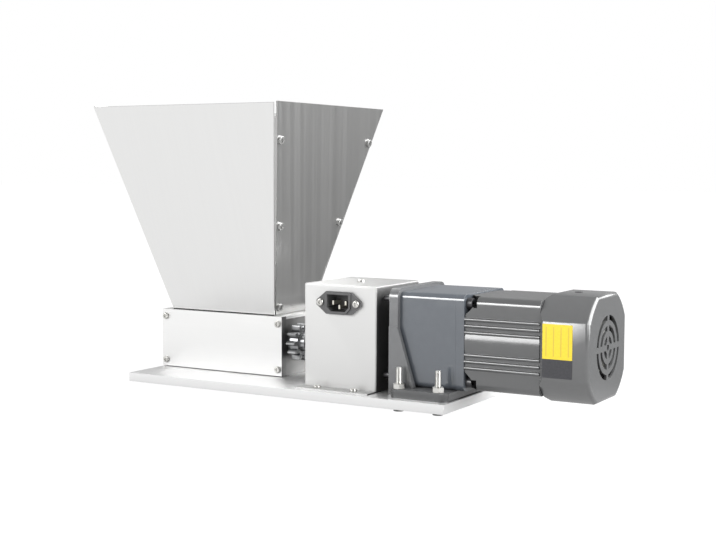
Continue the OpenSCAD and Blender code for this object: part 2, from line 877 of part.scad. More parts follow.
// Bearing block that slides in a side plate and carries the rear roller
module gap_block(x, dir) {
    translate([x, 0, 0]) mirror([dir > 0 ? 0 : 1, 0, 0]) difference() {
        union() {
            translate([0, block_y, axis_z - block_h / 2]) cube([side_t + face_gap, block_d, block_h]);
            translate([side_t + face_gap, block_y, axis_z - block_h / 2 - block_rim])
                cube([flange_t, block_d, block_h + 2 * block_rim]);
        }
        rod_x(-eps, side_t + face_gap + flange_t + 2 * eps, bush_d + seat_clear, driven_y, axis_z);
        translate([knob_x, block_y + block_d - knob_hold, axis_z])
            rod_y(-eps, knob_hold + 2 * eps, knob_thread_d + run_clear, 0, 0);
    }
}

module gap_block_left() {
    color("darkgray") place() gap_block(0, 1);
}

module gap_block_right() {
    color("darkgray") place() gap_block(mill_l, -1);
}

// Plain bush pressed into a sliding block
module block_bush(x) {
    difference() {
        rod_x(x, side_t + face_gap + flange_t, bush_d, driven_y, axis_z);
        rod_x(x - eps, side_t + face_gap + flange_t + 2 * eps, journal_d + run_clear, driven_y, axis_z);
    }
}

module gap_bushes() {
    color("peru") place() {
        block_bush(0);
        block_bush(mill_l - side_t - face_gap - flange_t);
    }
}

module gap_knob(x) {
    head_y = mill_rear_y + plate_t + knob_gap;
    tip_y = block_y + block_d - knob_hold;
    translate([x, 0, axis_z]) {
        along_y(head_y, knob_l) difference() {
            circle(d = knob_d);
            for (i = [0 : knob_grooves - 1]) {
                rotate(i * 360 / knob_grooves) translate([knob_d / 2, 0]) circle(d = knob_groove_d);
            }
        }
        rod_y(tip_y, head_y - tip_y + eps, knob_thread_d, 0, 0);
    }
}

module gap_knob_left() {
    color("dimgray") place() gap_knob(knob_x);
}

module gap_knob_right() {
    color("dimgray") place() gap_knob(mill_l - knob_x);
}

// Hopper

// Carries a panel drawn in (across, up the slope, outwards) to one face of the hopper.
// turn 0 is the front, 90 the right side, 180 the rear and 270 the left side.
module hopper_face(turn) {
    sideways = turn % 180 != 0;
    translate([hopper_x, hopper_y, mill_h]) rotate([0, 0, turn])
        translate([0, -(sideways ? hopper_bot_l : hopper_bot_d) / 2, 0])
            rotate([90 + atan((sideways ? run_x : run_y) / hopper_h), 0, 0]) children();
}

module trapezoid(bottom, top, height) {
    polygon([[-bottom / 2, 0], [bottom / 2, 0], [top / 2, height], [-top / 2, height]]);
}

// Half of the hopper's depth at a height up the side panel's slope
function half_depth(v) = hopper_bot_d / 2 + run_y * v / slope_x;

// Flange strip behind a side panel, along the edge that meets the front or rear panel
module corner_strip() {
    low = corner_screw_low - screw_head_d / 2;
    high = slope_x - flange_drop;
    translate([0, 0, -2 * sheet_t]) linear_extrude(sheet_t) polygon([
        [sheet_t / 2 - half_depth(low), low],
        [corner_flange - half_depth(low), low],
        [corner_flange - half_depth(high), high],
        [sheet_t / 2 - half_depth(high), high]
    ]);
}

module corner_screw_places() {
    for (i = [0 : corner_screws - 1]) {
        v = corner_screw_low + i * corner_screw_step;
        translate([corner_screw_in - half_depth(v), v, 0]) children();
    }
}

// Front or rear panel: sloped sheet, lip on the mill's top and two corner flanges
module hopper_main_panel(turn) {
    color("lightgray") place() difference() {
        union() {
            hopper_face(turn) translate([0, 0, -sheet_t]) linear_extrude(sheet_t)
                trapezoid(hopper_bot_l, hopper_top_l - 2 * corner_cut, slope_y - rim_step);
            translate([hopper_x, hopper_y, mill_h]) rotate([0, 0, turn])
                translate([-hopper_bot_l / 2 + lip_w, -hopper_bot_d / 2, 0])
                    cube([hopper_bot_l - 2 * lip_w, lip_w, sheet_t]);
            hopper_face(turn + 90) corner_strip();
            hopper_face(turn + 270) mirror([1, 0, 0]) corner_strip();
        }
        translate([hopper_x, hopper_y, mill_h]) rotate([0, 0, turn])
            translate([-hopper_bot_l / 2 - eps, -hopper_bot_d / 2 - eps, -eps])
                cube([hopper_bot_l + 2 * eps, hopper_gap + eps, hopper_gap + eps]);
        hopper_face(turn + 90) corner_screw_places() screw_hole(seat_clear);
        hopper_face(turn + 270) mirror([1, 0, 0]) corner_screw_places() screw_hole(seat_clear);
        lip_screw_places() rod_z(-eps, sheet_t + 2 * eps, screw_d + hole_clear, 0, 0);
    }
}

module screw_hole(clear) {
    translate([0, 0, -3 * sheet_t]) cylinder(h = 4 * sheet_t, d = screw_d + clear);
}

module hopper_front() {
    hopper_main_panel(0);
}

module hopper_rear() {
    hopper_main_panel(180);
}

// Flat side panel, screwed to the flanges of the front and rear panels
module hopper_side_panel(turn) {
    color("darkgray") place() difference() {
        hopper_face(turn) difference() {
            translate([0, 0, -sheet_t]) linear_extrude(sheet_t)
                trapezoid(hopper_bot_d - 2 * panel_inset, hopper_top_d - 2 * panel_inset, slope_x);
            for (side = [0, 1]) {
                mirror([side, 0, 0]) corner_screw_places() screw_hole(hole_clear);
            }
        }
        translate([0, mill_setback, mill_h - eps]) cube([mill_l, mill_d, hopper_gap + eps]);
    }
}

module hopper_left() {
    hopper_side_panel(270);
}

module hopper_right() {
    hopper_side_panel(90);
}

module hopper_screws() {
    color("silver") place() {
        for (turn = [90, 270], side = [0, 1]) {
            hopper_face(turn) mirror([side, 0, 0]) corner_screw_places() small_screw(sheet_screw_l);
        }
        lip_screw_places() translate([0, 0, sheet_t]) small_screw(sheet_screw_l);
    }
}

// Control box

// Rectangle with its two upper corners rounded
module round_top(w, h, r) {
    difference() {
        square([w, h]);
        translate([w - r, h - r]) corner_off(r);
        translate([r, h - r]) mirror([1, 0]) corner_off(r);
    }
}

// Block of the control box with its front and top edges bent round
module bent_block() {
    intersection() {
        along_y(box_setback, box_d) translate([box_x, 0]) round_top(box_w, box_h, box_bend_r);
        translate([box_x, box_rear_y, 0]) mirror([0, 1, 0]) linear_extrude(box_h)
            round_top(box_w, box_d, box_bend_r);
        translate([box_x, box_rear_y, 0]) mirror([0, 1, 0]) along_x(0, box_w) difference() {
            square([box_d, box_h]);
            translate([box_d - box_bend_r, box_h - box_bend_r]) corner_off(box_bend_r);
        }
    }
}

module tab_places() {
    for (x = [box_x + box_t, box_x + box_w - box_t - tab_size], z = [tab_size, box_h - box_t - tab_size]) {
        translate([x, 0, z]) children();
    }
}

module tab_screw_places() {
    tab_places() translate([tab_size / 2, 0, tab_size / 2]) children();
}

// Slot that lets the box down over a shaft
module shaft_slot(x) {
    along_x(x - eps, box_t + 2 * eps, drive_y) {
        translate([-shaft_slot_w / 2, -eps]) square([shaft_slot_w, axis_z + eps]);
        translate([0, axis_z]) circle(d = shaft_slot_w);
    }
}

module foot_sheet(y) {
    translate([box_x, y, 0]) cube([box_w, box_foot, box_t]);
}

module inlet_screw_places() {
    for (x = [-1, 1]) {
        translate([box_mid_x + x * inlet_pitch / 2, 0, inlet_z]) children();
    }
}

// Bent body of the box: front with its foot, both sides, top and the back panel's tabs
module control_box() {
    color("gainsboro") place() difference() {
        union() {
            difference() {
                bent_block();
                translate([box_x + box_t, box_setback + box_t, -eps])
                    cube([box_w - 2 * box_t, box_d, box_h - box_t + eps]);
            }
            foot_sheet(box_setback - box_foot);
            tab_places() translate([0, box_rear_y - box_t, 0]) cube([tab_size, box_t, tab_size]);
        }
        shaft_slot(box_x);
        shaft_slot(box_x + box_w - box_t);
        along_y(box_setback - eps, box_t + 2 * eps) translate([box_mid_x, inlet_z])
            square([inlet_body_w + seat_clear, inlet_body_h + seat_clear], center = true);
        inlet_screw_places() rod_y(box_setback - eps, box_t + 2 * eps, screw_d + seat_clear, 0, 0);
        box_foot_places() rod_z(-eps, box_t + 2 * eps, screw_d + hole_clear, 0, 0);
        tab_screw_places() rod_y(box_rear_y - box_t - eps, box_t + 2 * eps, screw_d + seat_clear, 0, 0);
        rod_z(box_h - box_t - eps, box_t + 2 * eps, screw_d + hole_clear, cap_x + cap_l / 2, cap_y);
    }
}

module control_box_back() {
    color("gainsboro") place() difference() {
        union() {
            along_y(box_rear_y, box_t) translate([box_x, 0]) round_top(box_w, box_h, box_bend_r);
            foot_sheet(box_rear_y + box_t);
        }
        along_y(box_rear_y - eps, box_t + 2 * eps) translate([switch_x, switch_z])
            square([switch_w + seat_clear, switch_h + seat_clear], center = true);
        box_foot_places() rod_z(-eps, box_t + 2 * eps, screw_d + hole_clear, 0, 0);
        tab_screw_places() rod_y(box_rear_y - eps, box_t + 2 * eps, screw_d + hole_clear, 0, 0);
    }
}

module box_screws() {
    color("silver") place() {
        box_foot_places() translate([0, 0, box_t]) small_screw(sheet_screw_l);
        tab_screw_places() translate([0, box_rear_y + box_t, 0]) rotate([-90, 0, 0])
            small_screw(sheet_screw_l);
        terminal_screw_places() translate([0, 0, terminal_h / 2])
            small_screw(terminal_h / 2 + sheet_screw_l);
        translate([cap_x + cap_l / 2, cap_y, box_h]) small_screw(box_t + strap_t);
    }
}

// Mains inlet

module socket_outline(w, h) {
    cut = h / 4;
    polygon([
        [-w / 2, h / 2], [w / 2, h / 2], [w / 2, cut - h / 2], [w / 2 - cut, -h / 2],
        [cut - w / 2, -h / 2], [-w / 2, cut - h / 2]
    ]);
}

// Flange with an ear round each screw
module inlet_flange_outline() {
    ear = screw_head_d / 2 + 1;
    half_w = inlet_pitch / 2 + ear;
    half_h = inlet_body_h / 2 + 1;
    shoulder = inlet_body_w / 2;
    polygon([
        [-shoulder, half_h], [shoulder, half_h], [half_w, ear / 2], [half_w, -ear / 2],
        [shoulder, -half_h], [-shoulder, -half_h], [-half_w, -ear / 2], [-half_w, ear / 2]
    ]);
}

module inlet_body() {
    front = box_setback - inlet_flange_t;
    mouth = front - collar_l;
    color("dimgray") place() difference() {
        union() {
            along_y(front, inlet_flange_t) translate([box_mid_x, inlet_z]) inlet_flange_outline();
            along_y(mouth, collar_l + eps) translate([box_mid_x, inlet_z])
                socket_outline(inlet_body_w, inlet_body_h);
            along_y(box_setback - eps, socket_depth) translate([box_mid_x, inlet_z])
                square([inlet_body_w, inlet_body_h], center = true);
        }
        along_y(mouth - eps, socket_depth + collar_l) translate([box_mid_x, inlet_z])
            socket_outline(socket_w, socket_h);
        inlet_screw_places() rod_y(front - eps, inlet_flange_t + 2 * eps, screw_d + hole_clear, 0, 0);
        inlet_pin_places() translate([0, front, 0]) pin_bar(pin_l + socket_depth, seat_clear);
    }
}

module inlet_pin_places() {
    for (x = [-1, 0, 1]) {
        translate([box_mid_x + x * pin_pitch / 2, 0, inlet_z - (x == 0 ? earth_drop : 0)]) children();
    }
}

module pin_bar(len, clear) {
    translate([-(pin_w + clear) / 2, 0, -(pin_h + clear) / 2]) cube([pin_w + clear, len, pin_h + clear]);
}

module inlet_pins() {
    back = box_setback - inlet_flange_t + socket_depth;
    color("gold") place() inlet_pin_places() translate([0, back - pin_l, 0])
        pin_bar(pin_l + inlet_flange_t + tag_l, 0);
}

module inlet_screws() {
    front = box_setback - inlet_flange_t;
    color("silver") place() inlet_screw_places() translate([0, front, 0]) rotate([90, 0, 0])
        small_screw(sheet_screw_l);
}

// Rocker switch on the back panel

module switch_body() {
    rim = 2;
    well = 2 * rocker_r + 2 * face_gap;
    color("black") place() difference() {
        union() {
            along_y(box_rear_y + box_t, switch_rim_t) translate([switch_x, switch_z])
                square([switch_w + 2 * rim, switch_h + 2 * rim], center = true);
            along_y(box_rear_y + box_t - switch_depth, switch_depth + eps) translate([switch_x, switch_z])
                square([switch_w, switch_h], center = true);
        }
        along_y(rocker_y - rocker_r - 2 * face_gap, rocker_r + switch_depth) translate([switch_x, switch_z])
            square([rocker_w + 2 * face_gap, well], center = true);
        rod_x(switch_x - rocker_w / 2 - 2 * face_gap, rocker_w + 4 * face_gap, rocker_pin_d + run_clear,
            rocker_y - rocker_pin_d, switch_z);
    }
}

// Rocker with a shallow V across its face, tilted to its off side
module switch_rocker() {
    rise = rocker_r * tan(rocker_tilt);
    color("firebrick") place() translate([switch_x, rocker_y - rocker_pin_d, switch_z]) {
        translate([-rocker_w / 2, 0, 0]) rotate([-rocker_tilt, 0, 0]) rotate([90, 0, 90])
            linear_extrude(rocker_w) intersection() {
                circle(rocker_r);
                polygon([
                    [-rocker_pin_d, -rocker_r], [rocker_pin_d + rise, -rocker_r], [rocker_pin_d, 0],
                    [rocker_pin_d + rise, rocker_r], [-rocker_pin_d, rocker_r]
                ]);
            }
        rod_x(-rocker_w / 2 - 1.5 * face_gap, rocker_w + 3 * face_gap, rocker_pin_d, 0, 0);
    }
}

// Electrical parts inside the box

module capacitor() {
    tag = 2;
    color("whitesmoke") place() {
        rod_x(cap_x, cap_l, cap_d, cap_y, cap_z);
        for (y = [-1, 1]) {
            translate([cap_x + cap_l - eps, cap_y + y * cap_d / 4 - tag, cap_z - tag / 4])
                cube([2 * tag, 2 * tag, tag / 2]);
        }
    }
}

module capacitor_clamp() {
    mid = cap_x + cap_l / 2;
    color("silver") place() difference() {
        union() {
            along_x(mid - strap_w / 2, strap_w, cap_y, cap_z) circle(d = cap_d + 2 * strap_t);
            translate([mid - strap_w / 2, cap_y - strap_w, box_h - box_t - strap_t])
                cube([strap_w, 2 * strap_w, strap_t]);
        }
        rod_x(mid - strap_w / 2 - eps, strap_w + 2 * eps, cap_d + seat_clear, cap_y, cap_z);
        rod_z(box_h - box_t - strap_t - eps, strap_t + 2 * eps, screw_d + seat_clear, mid, cap_y);
    }
}

module terminal_block() {
    ways = 4;
    color("ivory") place() difference() {
        translate([box_mid_x - terminal_l / 2, terminal_y, 0]) cube([terminal_l, terminal_d, terminal_h]);
        terminal_screw_places() rod_z(-eps, terminal_h + 2 * eps, screw_d + hole_clear, 0, 0);
        terminal_screw_places() rod_z(terminal_h / 2, terminal_h, screw_head_d + hole_clear, 0, 0);
        for (i = [0 : ways - 1]) {
            translate([box_mid_x + (i + 0.5 - ways / 2) * terminal_l / 8, terminal_y, terminal_h / 2])
                rod_y(-eps, terminal_d / 3, screw_d, 0, 0);
        }
    }
}

// Jaw coupling

// Everything between a hub's three jaws, with the middle of a space on angle 0
module jaw_spaces() {
    circle(jaw_inner_r);
    for (i = [0 : 2]) {
        rotate(i * 120) ring_part(jaw_inner_r / 2, coupling_d, 120 - jaw_angle);
    }
}

module coupling_hub(x, bore, spaces_x, turn) {
    len = coupling_hub_l + jaw_l - face_gap;
    difference() {
        along_x(x, len, drive_y, axis_z) ring(coupling_d, bore + seat_clear);
        along_x(spaces_x, jaw_l, drive_y, axis_z) rotate(turn) jaw_spaces();
    }
}

module coupling_hub_mill() {
    color("lightsteelblue") place() coupling_hub(hub_mill_x, journal_d, jaw_x, 60);
}

module coupling_hub_motor() {
    color("lightsteelblue") place() coupling_hub(jaw_x + face_gap, output_d, jaw_x, 0);
}

// Rubber star whose legs fill the spaces between the jaws
module coupling_spider() {
    leg_angle = 60 - jaw_angle - 2 * spider_free;
    color("firebrick") place() along_x(jaw_x + face_gap, jaw_l - 2 * face_gap, drive_y, axis_z) {
        difference() {
            circle(jaw_inner_r - face_gap);
            circle(jaw_inner_r / 2);
        }
        for (i = [0 : 5]) {
            rotate(30 + i * 60) ring_part(jaw_inner_r * 3 / 4, coupling_d / 2 - face_gap, leg_angle);
        }
    }
}

// Motor bracket

module bracket_plate_outline() {
    translate([drive_y, bracket_h / 2]) round_rect(bracket_w - 2 * bracket_step, bracket_h, bracket_r);
    translate([drive_y - bracket_w / 2, 0]) square([bracket_w, gusset_h]);
}

module gusset(y) {
    along_y(y, gusset_t) polygon([
        [case_x - eps, foot_t - eps], [case_x + gusset_l, foot_t - eps], [case_x - eps, gusset_h]
    ]);
}

module motor_bracket() {
    corner = foot_bolt_inset;
    color("dimgray") place() difference() {
        union() {
            along_x(bracket_x, bracket_t) bracket_plate_outline();
            translate([foot_x + foot_l / 2, drive_y, 0]) linear_extrude(foot_t)
                round_rect(foot_l, foot_d, corner);
            gusset(drive_y - bracket_w / 2);
            gusset(drive_y + bracket_w / 2 - gusset_t);
        }
        bracket_bolt_places() rod_z(-eps, foot_t + 2 * eps, bolt_d + hole_clear, 0, 0);
        gearbox_bolt_places() rod_x(bracket_x - eps, bracket_t + 2 * eps, bolt_d + hole_clear, 0, 0);
        rod_x(bracket_x - eps, bracket_t + 2 * eps, shaft_slot_w, drive_y, axis_z);
    }
}

// Socket-head bolts through the motor flange, gear case and bracket, with tips close to the control box
module gearbox_bolts() {
    socket_af = bolt_d * 5 / 6;
    tip_x = box_x + box_w + stage_gap;
    color("black") place() gearbox_bolt_places() {
        rod_x(tip_x, housing_x - tip_x + eps, bolt_d, 0, 0);
        difference() {
            rod_x(housing_x, bolt_d, hex_af, 0, 0);
            along_x(housing_x + bolt_d / 2, bolt_d) hexagon(socket_af);
        }
    }
}

// Gear head

module gear_face_outline() {
    translate([drive_y, motor_z]) round_rect(gear_size, gear_size, gear_edge_r);
}

module gear_case() {
    color("slategray") place() difference() {
        along_x(case_x, case_l) gear_face_outline();
        rod_x(case_x + case_wall, case_l, case_bore, drive_y, motor_z);
        gearbox_bolt_places() rod_x(case_x - eps, case_l + 2 * eps, bolt_d + hole_clear, 0, 0);
        rod_x(case_x - eps, case_wall, output_d + 2 * stage_gap, drive_y, axis_z);
        rod_x(output_bearing_x, case_wall, output_bearing_d + seat_clear, drive_y, axis_z);
        rod_x(cluster_seat_x, case_wall, cluster_bush_d + seat_clear, cluster_y, cluster_z);
    }
}

// Plate between the two gear stages, pressed into the case
module gear_mid_plate() {
    color("darkgray") place() difference() {
        rod_x(mid_x, mid_t, case_bore - seat_clear, drive_y, motor_z);
        rod_x(mid_x - eps, mid_t + 2 * eps, bush_d + seat_clear, drive_y, axis_z);
        rod_x(mid_x - eps, mid_t + 2 * eps, cluster_bush_d + seat_clear, cluster_y, cluster_z);
    }
}

module output_shaft() {
    start = hub_motor_x + stage_gap;
    color("silver") place() {
        rod_x(start, mid_x - face_gap - start, output_d, drive_y, axis_z);
        rod_x(mid_x - face_gap - eps, mid_t + face_gap, journal_d, drive_y, axis_z);
    }
}

module output_gear() {
    color("gray") place() along_x(output_gear_x, output_face, drive_y, axis_z) difference() {
        fine_gear(wheel_teeth, half_tooth - mesh_angle);
        circle(d = output_d + seat_clear);
    }
}

module output_bearing() {
    color("lightgray") place() along_x(output_bearing_x, output_bearing_w, drive_y, axis_z)
        ring(output_bearing_d, output_d + run_clear);
}

module plain_bush(x, len, d, y, z) {
    along_x(x, len, y, z) ring(d + 2 * bush_wall, d + run_clear);
}

module gear_bushes() {
    color("peru") place() {
        plain_bush(mid_x, mid_t, journal_d, drive_y, axis_z);
        plain_bush(mid_x, mid_t, cluster_d, cluster_y, cluster_z);
        plain_bush(cluster_seat_x, cluster_seat, cluster_d, cluster_y, cluster_z);
    }
}

// Shaft with the first stage wheel and the second stage pinion
module cluster_gear() {
    start = cluster_seat_x + face_gap;
    pinion_x = case_x + case_wall + face_gap;
    color("gray") place() {
        rod_x(start, first_x + first_face - start, cluster_d, cluster_y, cluster_z);
        along_x(pinion_x, mid_x - face_gap - pinion_x, cluster_y, cluster_z)
            fine_gear(pinion_teeth, 180 - mesh_angle);
        along_x(first_x, first_face, cluster_y, cluster_z)
            fine_gear(wheel_teeth, mesh_angle + 180 + half_tooth);
        rod_x(mid_x + mid_t + face_gap, stage_gap, cluster_bush_d, cluster_y, cluster_z);
    }
}

// Motor

module motor_flange() {
    spigot_l = motor_bearing_w / 2;
    color("slategray") place() difference() {
        union() {
            along_x(flange_x, motor_flange_t) gear_face_outline();
            rod_x(housing_x - eps, spigot_l + eps, housing_bore - seat_clear, drive_y, motor_z);
        }
        gearbox_bolt_places() rod_x(flange_x - eps, motor_flange_t + 2 * eps, bolt_d + hole_clear, 0, 0);
        rod_x(flange_x - eps, motor_flange_t, motor_shaft_d + 2 * stage_gap, drive_y, motor_z);
        rod_x(front_bearing_x, motor_bearing_w, motor_bearing_d + seat_clear, drive_y, motor_z);
    }
}

// Outline of the housing where the fan cover slips on
module housing_end_outline(size, round_d) {
    intersection() {
        round_rect(size, size, housing_r);
        circle(d = round_d);
    }
}

// Extruded housing with ribs on both sides, a recess around each bolt head and a seat for the fan cover
module stator_housing() {
    seat_x = cover_x - face_gap;
    color("gray") place() difference() {
        translate([0, drive_y, motor_z]) {
            along_x(housing_x, seat_x - housing_x) {
                round_rect(housing_size, housing_size, housing_r);
                intersection() {
                    circle(d = barrel_d);
                    square([barrel_d, 2 * rib_first], center = true);
                }
                for (side = [-1, 1], up = [-1, 1], i = [0 : rib_count - 1]) {
                    translate([side * housing_size / 2, up * (rib_first + i * rib_pitch)])
                        circle(d = rib_d);
                }
            }
            along_x(seat_x - eps, housing_end - seat_x + eps)
                housing_end_outline(housing_size, cover_in_d);
        }
        gearbox_bolt_places() translate([housing_x - eps, 0, 0]) rotate([0, 90, 0]) {
            cylinder(h = recess_l, r = recess_r);
            cylinder(h = flare_l, r1 = flare_r, r2 = recess_r);
        }
        rod_x(housing_x - eps, housing_l + 2 * eps, housing_bore, drive_y, motor_z);
    }
}

module stator_core() {
    color("darkgray") place() along_x(core_x, core_l, drive_y, motor_z)
        ring(housing_bore - seat_clear, rotor_d + 2 * air_gap);
}

// Winding ends on both sides of the stator core
module stator_windings() {
    inner = rotor_d + 4 * stage_gap;
    outer = housing_bore - 4 * stage_gap;
    color("sienna") place() for (x = [core_x - winding_l, core_x + core_l]) {
        along_x(x, winding_l, drive_y, motor_z) ring(outer, inner);
    }
}

module rotor_core() {
    color("gray") place() along_x(core_x, core_l, drive_y, motor_z)
        ring(rotor_d, motor_shaft_d + seat_clear);
}

module motor_shaft() {
    pinion_x = first_x - face_gap;
    pinion_end = first_x + first_face + face_gap;
    color("silver") place() {
        along_x(pinion_x, pinion_end - pinion_x, drive_y, motor_z) fine_gear(pinion_teeth, mesh_angle);
        rod_x(pinion_end - eps, shaft_end - pinion_end, motor_shaft_d, drive_y, motor_z);
    }
}

module motor_bearings() {
    color("lightgray") place() for (x = [front_bearing_x, rear_bearing_x]) {
        along_x(x, motor_bearing_w, drive_y, motor_z) ring(motor_bearing_d, motor_shaft_d + run_clear);
    }
}

// Post in front of the fan, its outer step clear of the cover's lip
module fan_cover_post(width) {
    step = shield_t + face_gap;
    low = fan_d / 2 + stage_gap;
    high = (housing_size - stage_gap) / 2;
    translate([0, -width / 2, low]) cube([post_l, width, high - low]);
    translate([step, -width / 2, low]) cube([post_l - step, width, post_top - low]);
}

// End shield with the rear bearing seat and a post above and below for the fan cover
module rear_shield() {
    spigot_x = rear_bearing_x - stage_gap;
    color("darkgray") place() difference() {
        union() {
            along_x(housing_end, shield_t, drive_y, motor_z)
                housing_end_outline(housing_size - stage_gap, cover_in_d - stage_gap);
            rod_x(spigot_x, housing_end - spigot_x + eps, housing_bore - seat_clear, drive_y, motor_z);
            for (up = [0, 1]) {
                translate([housing_end, drive_y, motor_z]) mirror([0, 0, up])
                    fan_cover_post(3 * screw_d);
            }
        }
        rod_x(spigot_x - eps, housing_l, motor_shaft_d + 2 * stage_gap, drive_y, motor_z);
        rod_x(rear_bearing_x, motor_bearing_w + eps, motor_bearing_d + seat_clear, drive_y, motor_z);
        cover_screw_places()
            rod_z(post_top - sheet_screw_l, sheet_screw_l + cover_wall, screw_d + seat_clear, 0, 0);
    }
}

module cover_screw_places() {
    for (up = [0, 1]) {
        translate([cover_screw_x, drive_y, motor_z]) mirror([0, 0, up]) children();
    }
}

module cooling_fan() {
    hub = 2 * motor_shaft_d;
    disc_t = 2;
    color("whitesmoke") place() difference() {
        union() {
            rod_x(fan_x, fan_l, hub, drive_y, motor_z);
            rod_x(fan_x, disc_t, fan_d - stage_gap, drive_y, motor_z);
            for (i = [0 : fan_blades - 1]) {
                translate([fan_x, drive_y, motor_z]) rotate([i * 360 / fan_blades, 0, 0])
                    translate([0, hub / 2 - disc_t, -disc_t / 2])
                        cube([fan_l, fan_d / 2 - hub / 2 + disc_t - stage_gap, disc_t]);
            }
        }
        rod_x(fan_x - eps, fan_l + 2 * eps, motor_shaft_d + seat_clear, drive_y, motor_z);
    }
}

// Side view of the cover: bevel at the open end, round edge at the closed end
module cover_profile(half) {
    difference() {
        polygon([
            [0, half - cover_bevel], [cover_bevel, half], [cover_l, half],
            [cover_l, -half], [cover_bevel, -half], [0, cover_bevel - half]
        ]);
        for (up = [0, 1]) {
            mirror([0, up]) translate([cover_l - cover_edge_r, half - cover_edge_r])
                corner_off(cover_edge_r);
        }
    }
}

// Square block with its four corners turned to one diameter
module cover_shell() {
    half = cover_size / 2;
    round_r = cover_round_d / 2;
    intersection() {
        translate([cover_x, drive_y, motor_z]) rotate([0, 90, 0]) rotate_extrude() difference() {
            square([round_r, cover_l]);
            translate([round_r - cover_edge_r, cover_l - cover_edge_r]) corner_off(cover_edge_r);
        }
        translate([cover_x, drive_y + half, motor_z]) rotate([90, 0, 0]) linear_extrude(cover_size)
            cover_profile(half);
        translate([cover_x, drive_y, motor_z - half]) linear_extrude(cover_size) cover_profile(half);
    }
}

module vent_outline() {
    difference() {
        for (i = [0 : vent_rings - 1]) {
            outer = vent_r - i * (vent_slot + vent_bar);
            ring(2 * outer, 2 * (outer - vent_slot));
        }
        square([spoke_w, 3 * vent_r], center = true);
        square([3 * vent_r, spoke_w], center = true);
    }
    circle(d = vent_hole_d);
}

module fan_cover() {
    lip = cover_overlap + shield_t;
    inner = cover_size - 2 * cover_wall;
    color("gray") place() difference() {
        cover_shell();
        along_x(cover_x - eps, lip, drive_y, motor_z)
            housing_end_outline(housing_size + 2 * seat_clear, cover_in_d + 2 * seat_clear);
        along_x(cover_x + lip - 2 * eps, cover_l - lip - cover_wall, drive_y, motor_z) intersection() {
            square(inner, center = true);
            circle(d = cover_in_d);
        }
        along_x(cover_end - 2 * cover_wall, 3 * cover_wall, drive_y, motor_z) vent_outline();
        cover_screw_places() rod_z(post_top - eps, 2 * cover_wall, screw_d + hole_clear, 0, 0);
    }
}

module fan_cover_screws() {
    head_h = screw_head_h / 4;
    color("black") place() cover_screw_places() {
        rod_z(cover_size / 2, head_h, screw_head_d, 0, 0);
        rod_z(post_top - sheet_screw_l + seat_clear, sheet_screw_l + cover_wall, screw_d, 0, 0);
    }
}

module rating_label() {
    color("gold") place()
        translate([cover_x + cover_bevel, drive_y - cover_size / 2 - label_t, motor_z - label_h / 2])
            cube([label_l, label_t, label_h]);
}

base_plate();
base_bolts();
hex_nuts();
mill_front_plate();
mill_rear_plate();
mill_side_left();
mill_side_right();
mill_top_plate();
mill_screws();
drive_roller();
driven_roller();
drive_gear();
driven_gear();
drive_bushes();
gap_block_left();
gap_block_right();
gap_bushes();
gap_knob_left();
gap_knob_right();
hopper_front();
hopper_rear();
hopper_left();
hopper_right();
hopper_screws();
control_box();
control_box_back();
box_screws();
inlet_body();
inlet_pins();
inlet_screws();
switch_body();
switch_rocker();
capacitor();
capacitor_clamp();
terminal_block();
coupling_hub_mill();
coupling_spider();
coupling_hub_motor();
motor_bracket();
gearbox_bolts();
gear_case();
gear_mid_plate();
output_shaft();
output_gear();
output_bearing();
gear_bushes();
cluster_gear();
motor_flange();
stator_housing();
stator_core();
stator_windings();
rotor_core();
motor_shaft();
motor_bearings();
rear_shield();
cooling_fan();
fan_cover();
fan_cover_screws();
rating_label();
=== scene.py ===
import json
import math

import bmesh
import bpy
import numpy as np
from mathutils import Matrix, Vector


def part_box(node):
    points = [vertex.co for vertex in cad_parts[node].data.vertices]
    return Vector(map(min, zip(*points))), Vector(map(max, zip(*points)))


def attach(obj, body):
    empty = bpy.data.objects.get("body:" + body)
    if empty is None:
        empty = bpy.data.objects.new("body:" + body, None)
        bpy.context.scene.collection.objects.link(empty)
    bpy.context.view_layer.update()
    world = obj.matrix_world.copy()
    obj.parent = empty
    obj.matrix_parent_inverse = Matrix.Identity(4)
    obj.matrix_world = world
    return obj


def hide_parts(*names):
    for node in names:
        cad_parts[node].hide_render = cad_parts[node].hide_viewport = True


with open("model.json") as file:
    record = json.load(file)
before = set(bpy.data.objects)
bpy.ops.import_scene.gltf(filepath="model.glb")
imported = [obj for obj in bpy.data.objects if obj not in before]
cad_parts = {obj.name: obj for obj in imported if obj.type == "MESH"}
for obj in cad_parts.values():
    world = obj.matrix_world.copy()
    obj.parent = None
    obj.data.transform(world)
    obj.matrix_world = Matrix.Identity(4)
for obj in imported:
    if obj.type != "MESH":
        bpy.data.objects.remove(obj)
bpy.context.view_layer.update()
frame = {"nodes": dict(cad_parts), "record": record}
nodes = frame["nodes"]
MM = 0.001
WELD = 1e-6
TOUCH = 1e-5
UPWARD = (0.0, 0.0, 1.0)
DOWN = (0.0, 0.0, -1.0)
LEFT = (-1.0, 0.0, 0.0)
RIGHT = (1.0, 0.0, 0.0)
BACK = (0.0, 1.0, 0.0)
UNSCALED = (1.0, 1.0, 1.0)


# Material helpers: every texture reads object coordinates, which are metres in the part's frame

def new_tree(name):
    mat = bpy.data.materials.new(name)
    mat.use_nodes = True
    return mat, mat.node_tree, mat.node_tree.nodes["Principled BSDF"]


def object_coords(tree, scale):
    coord = tree.nodes.new("ShaderNodeTexCoord")
    mapping = tree.nodes.new("ShaderNodeMapping")
    mapping.inputs["Scale"].default_value = scale
    tree.links.new(coord.outputs["Object"], mapping.inputs["Vector"])
    return mapping.outputs["Vector"]


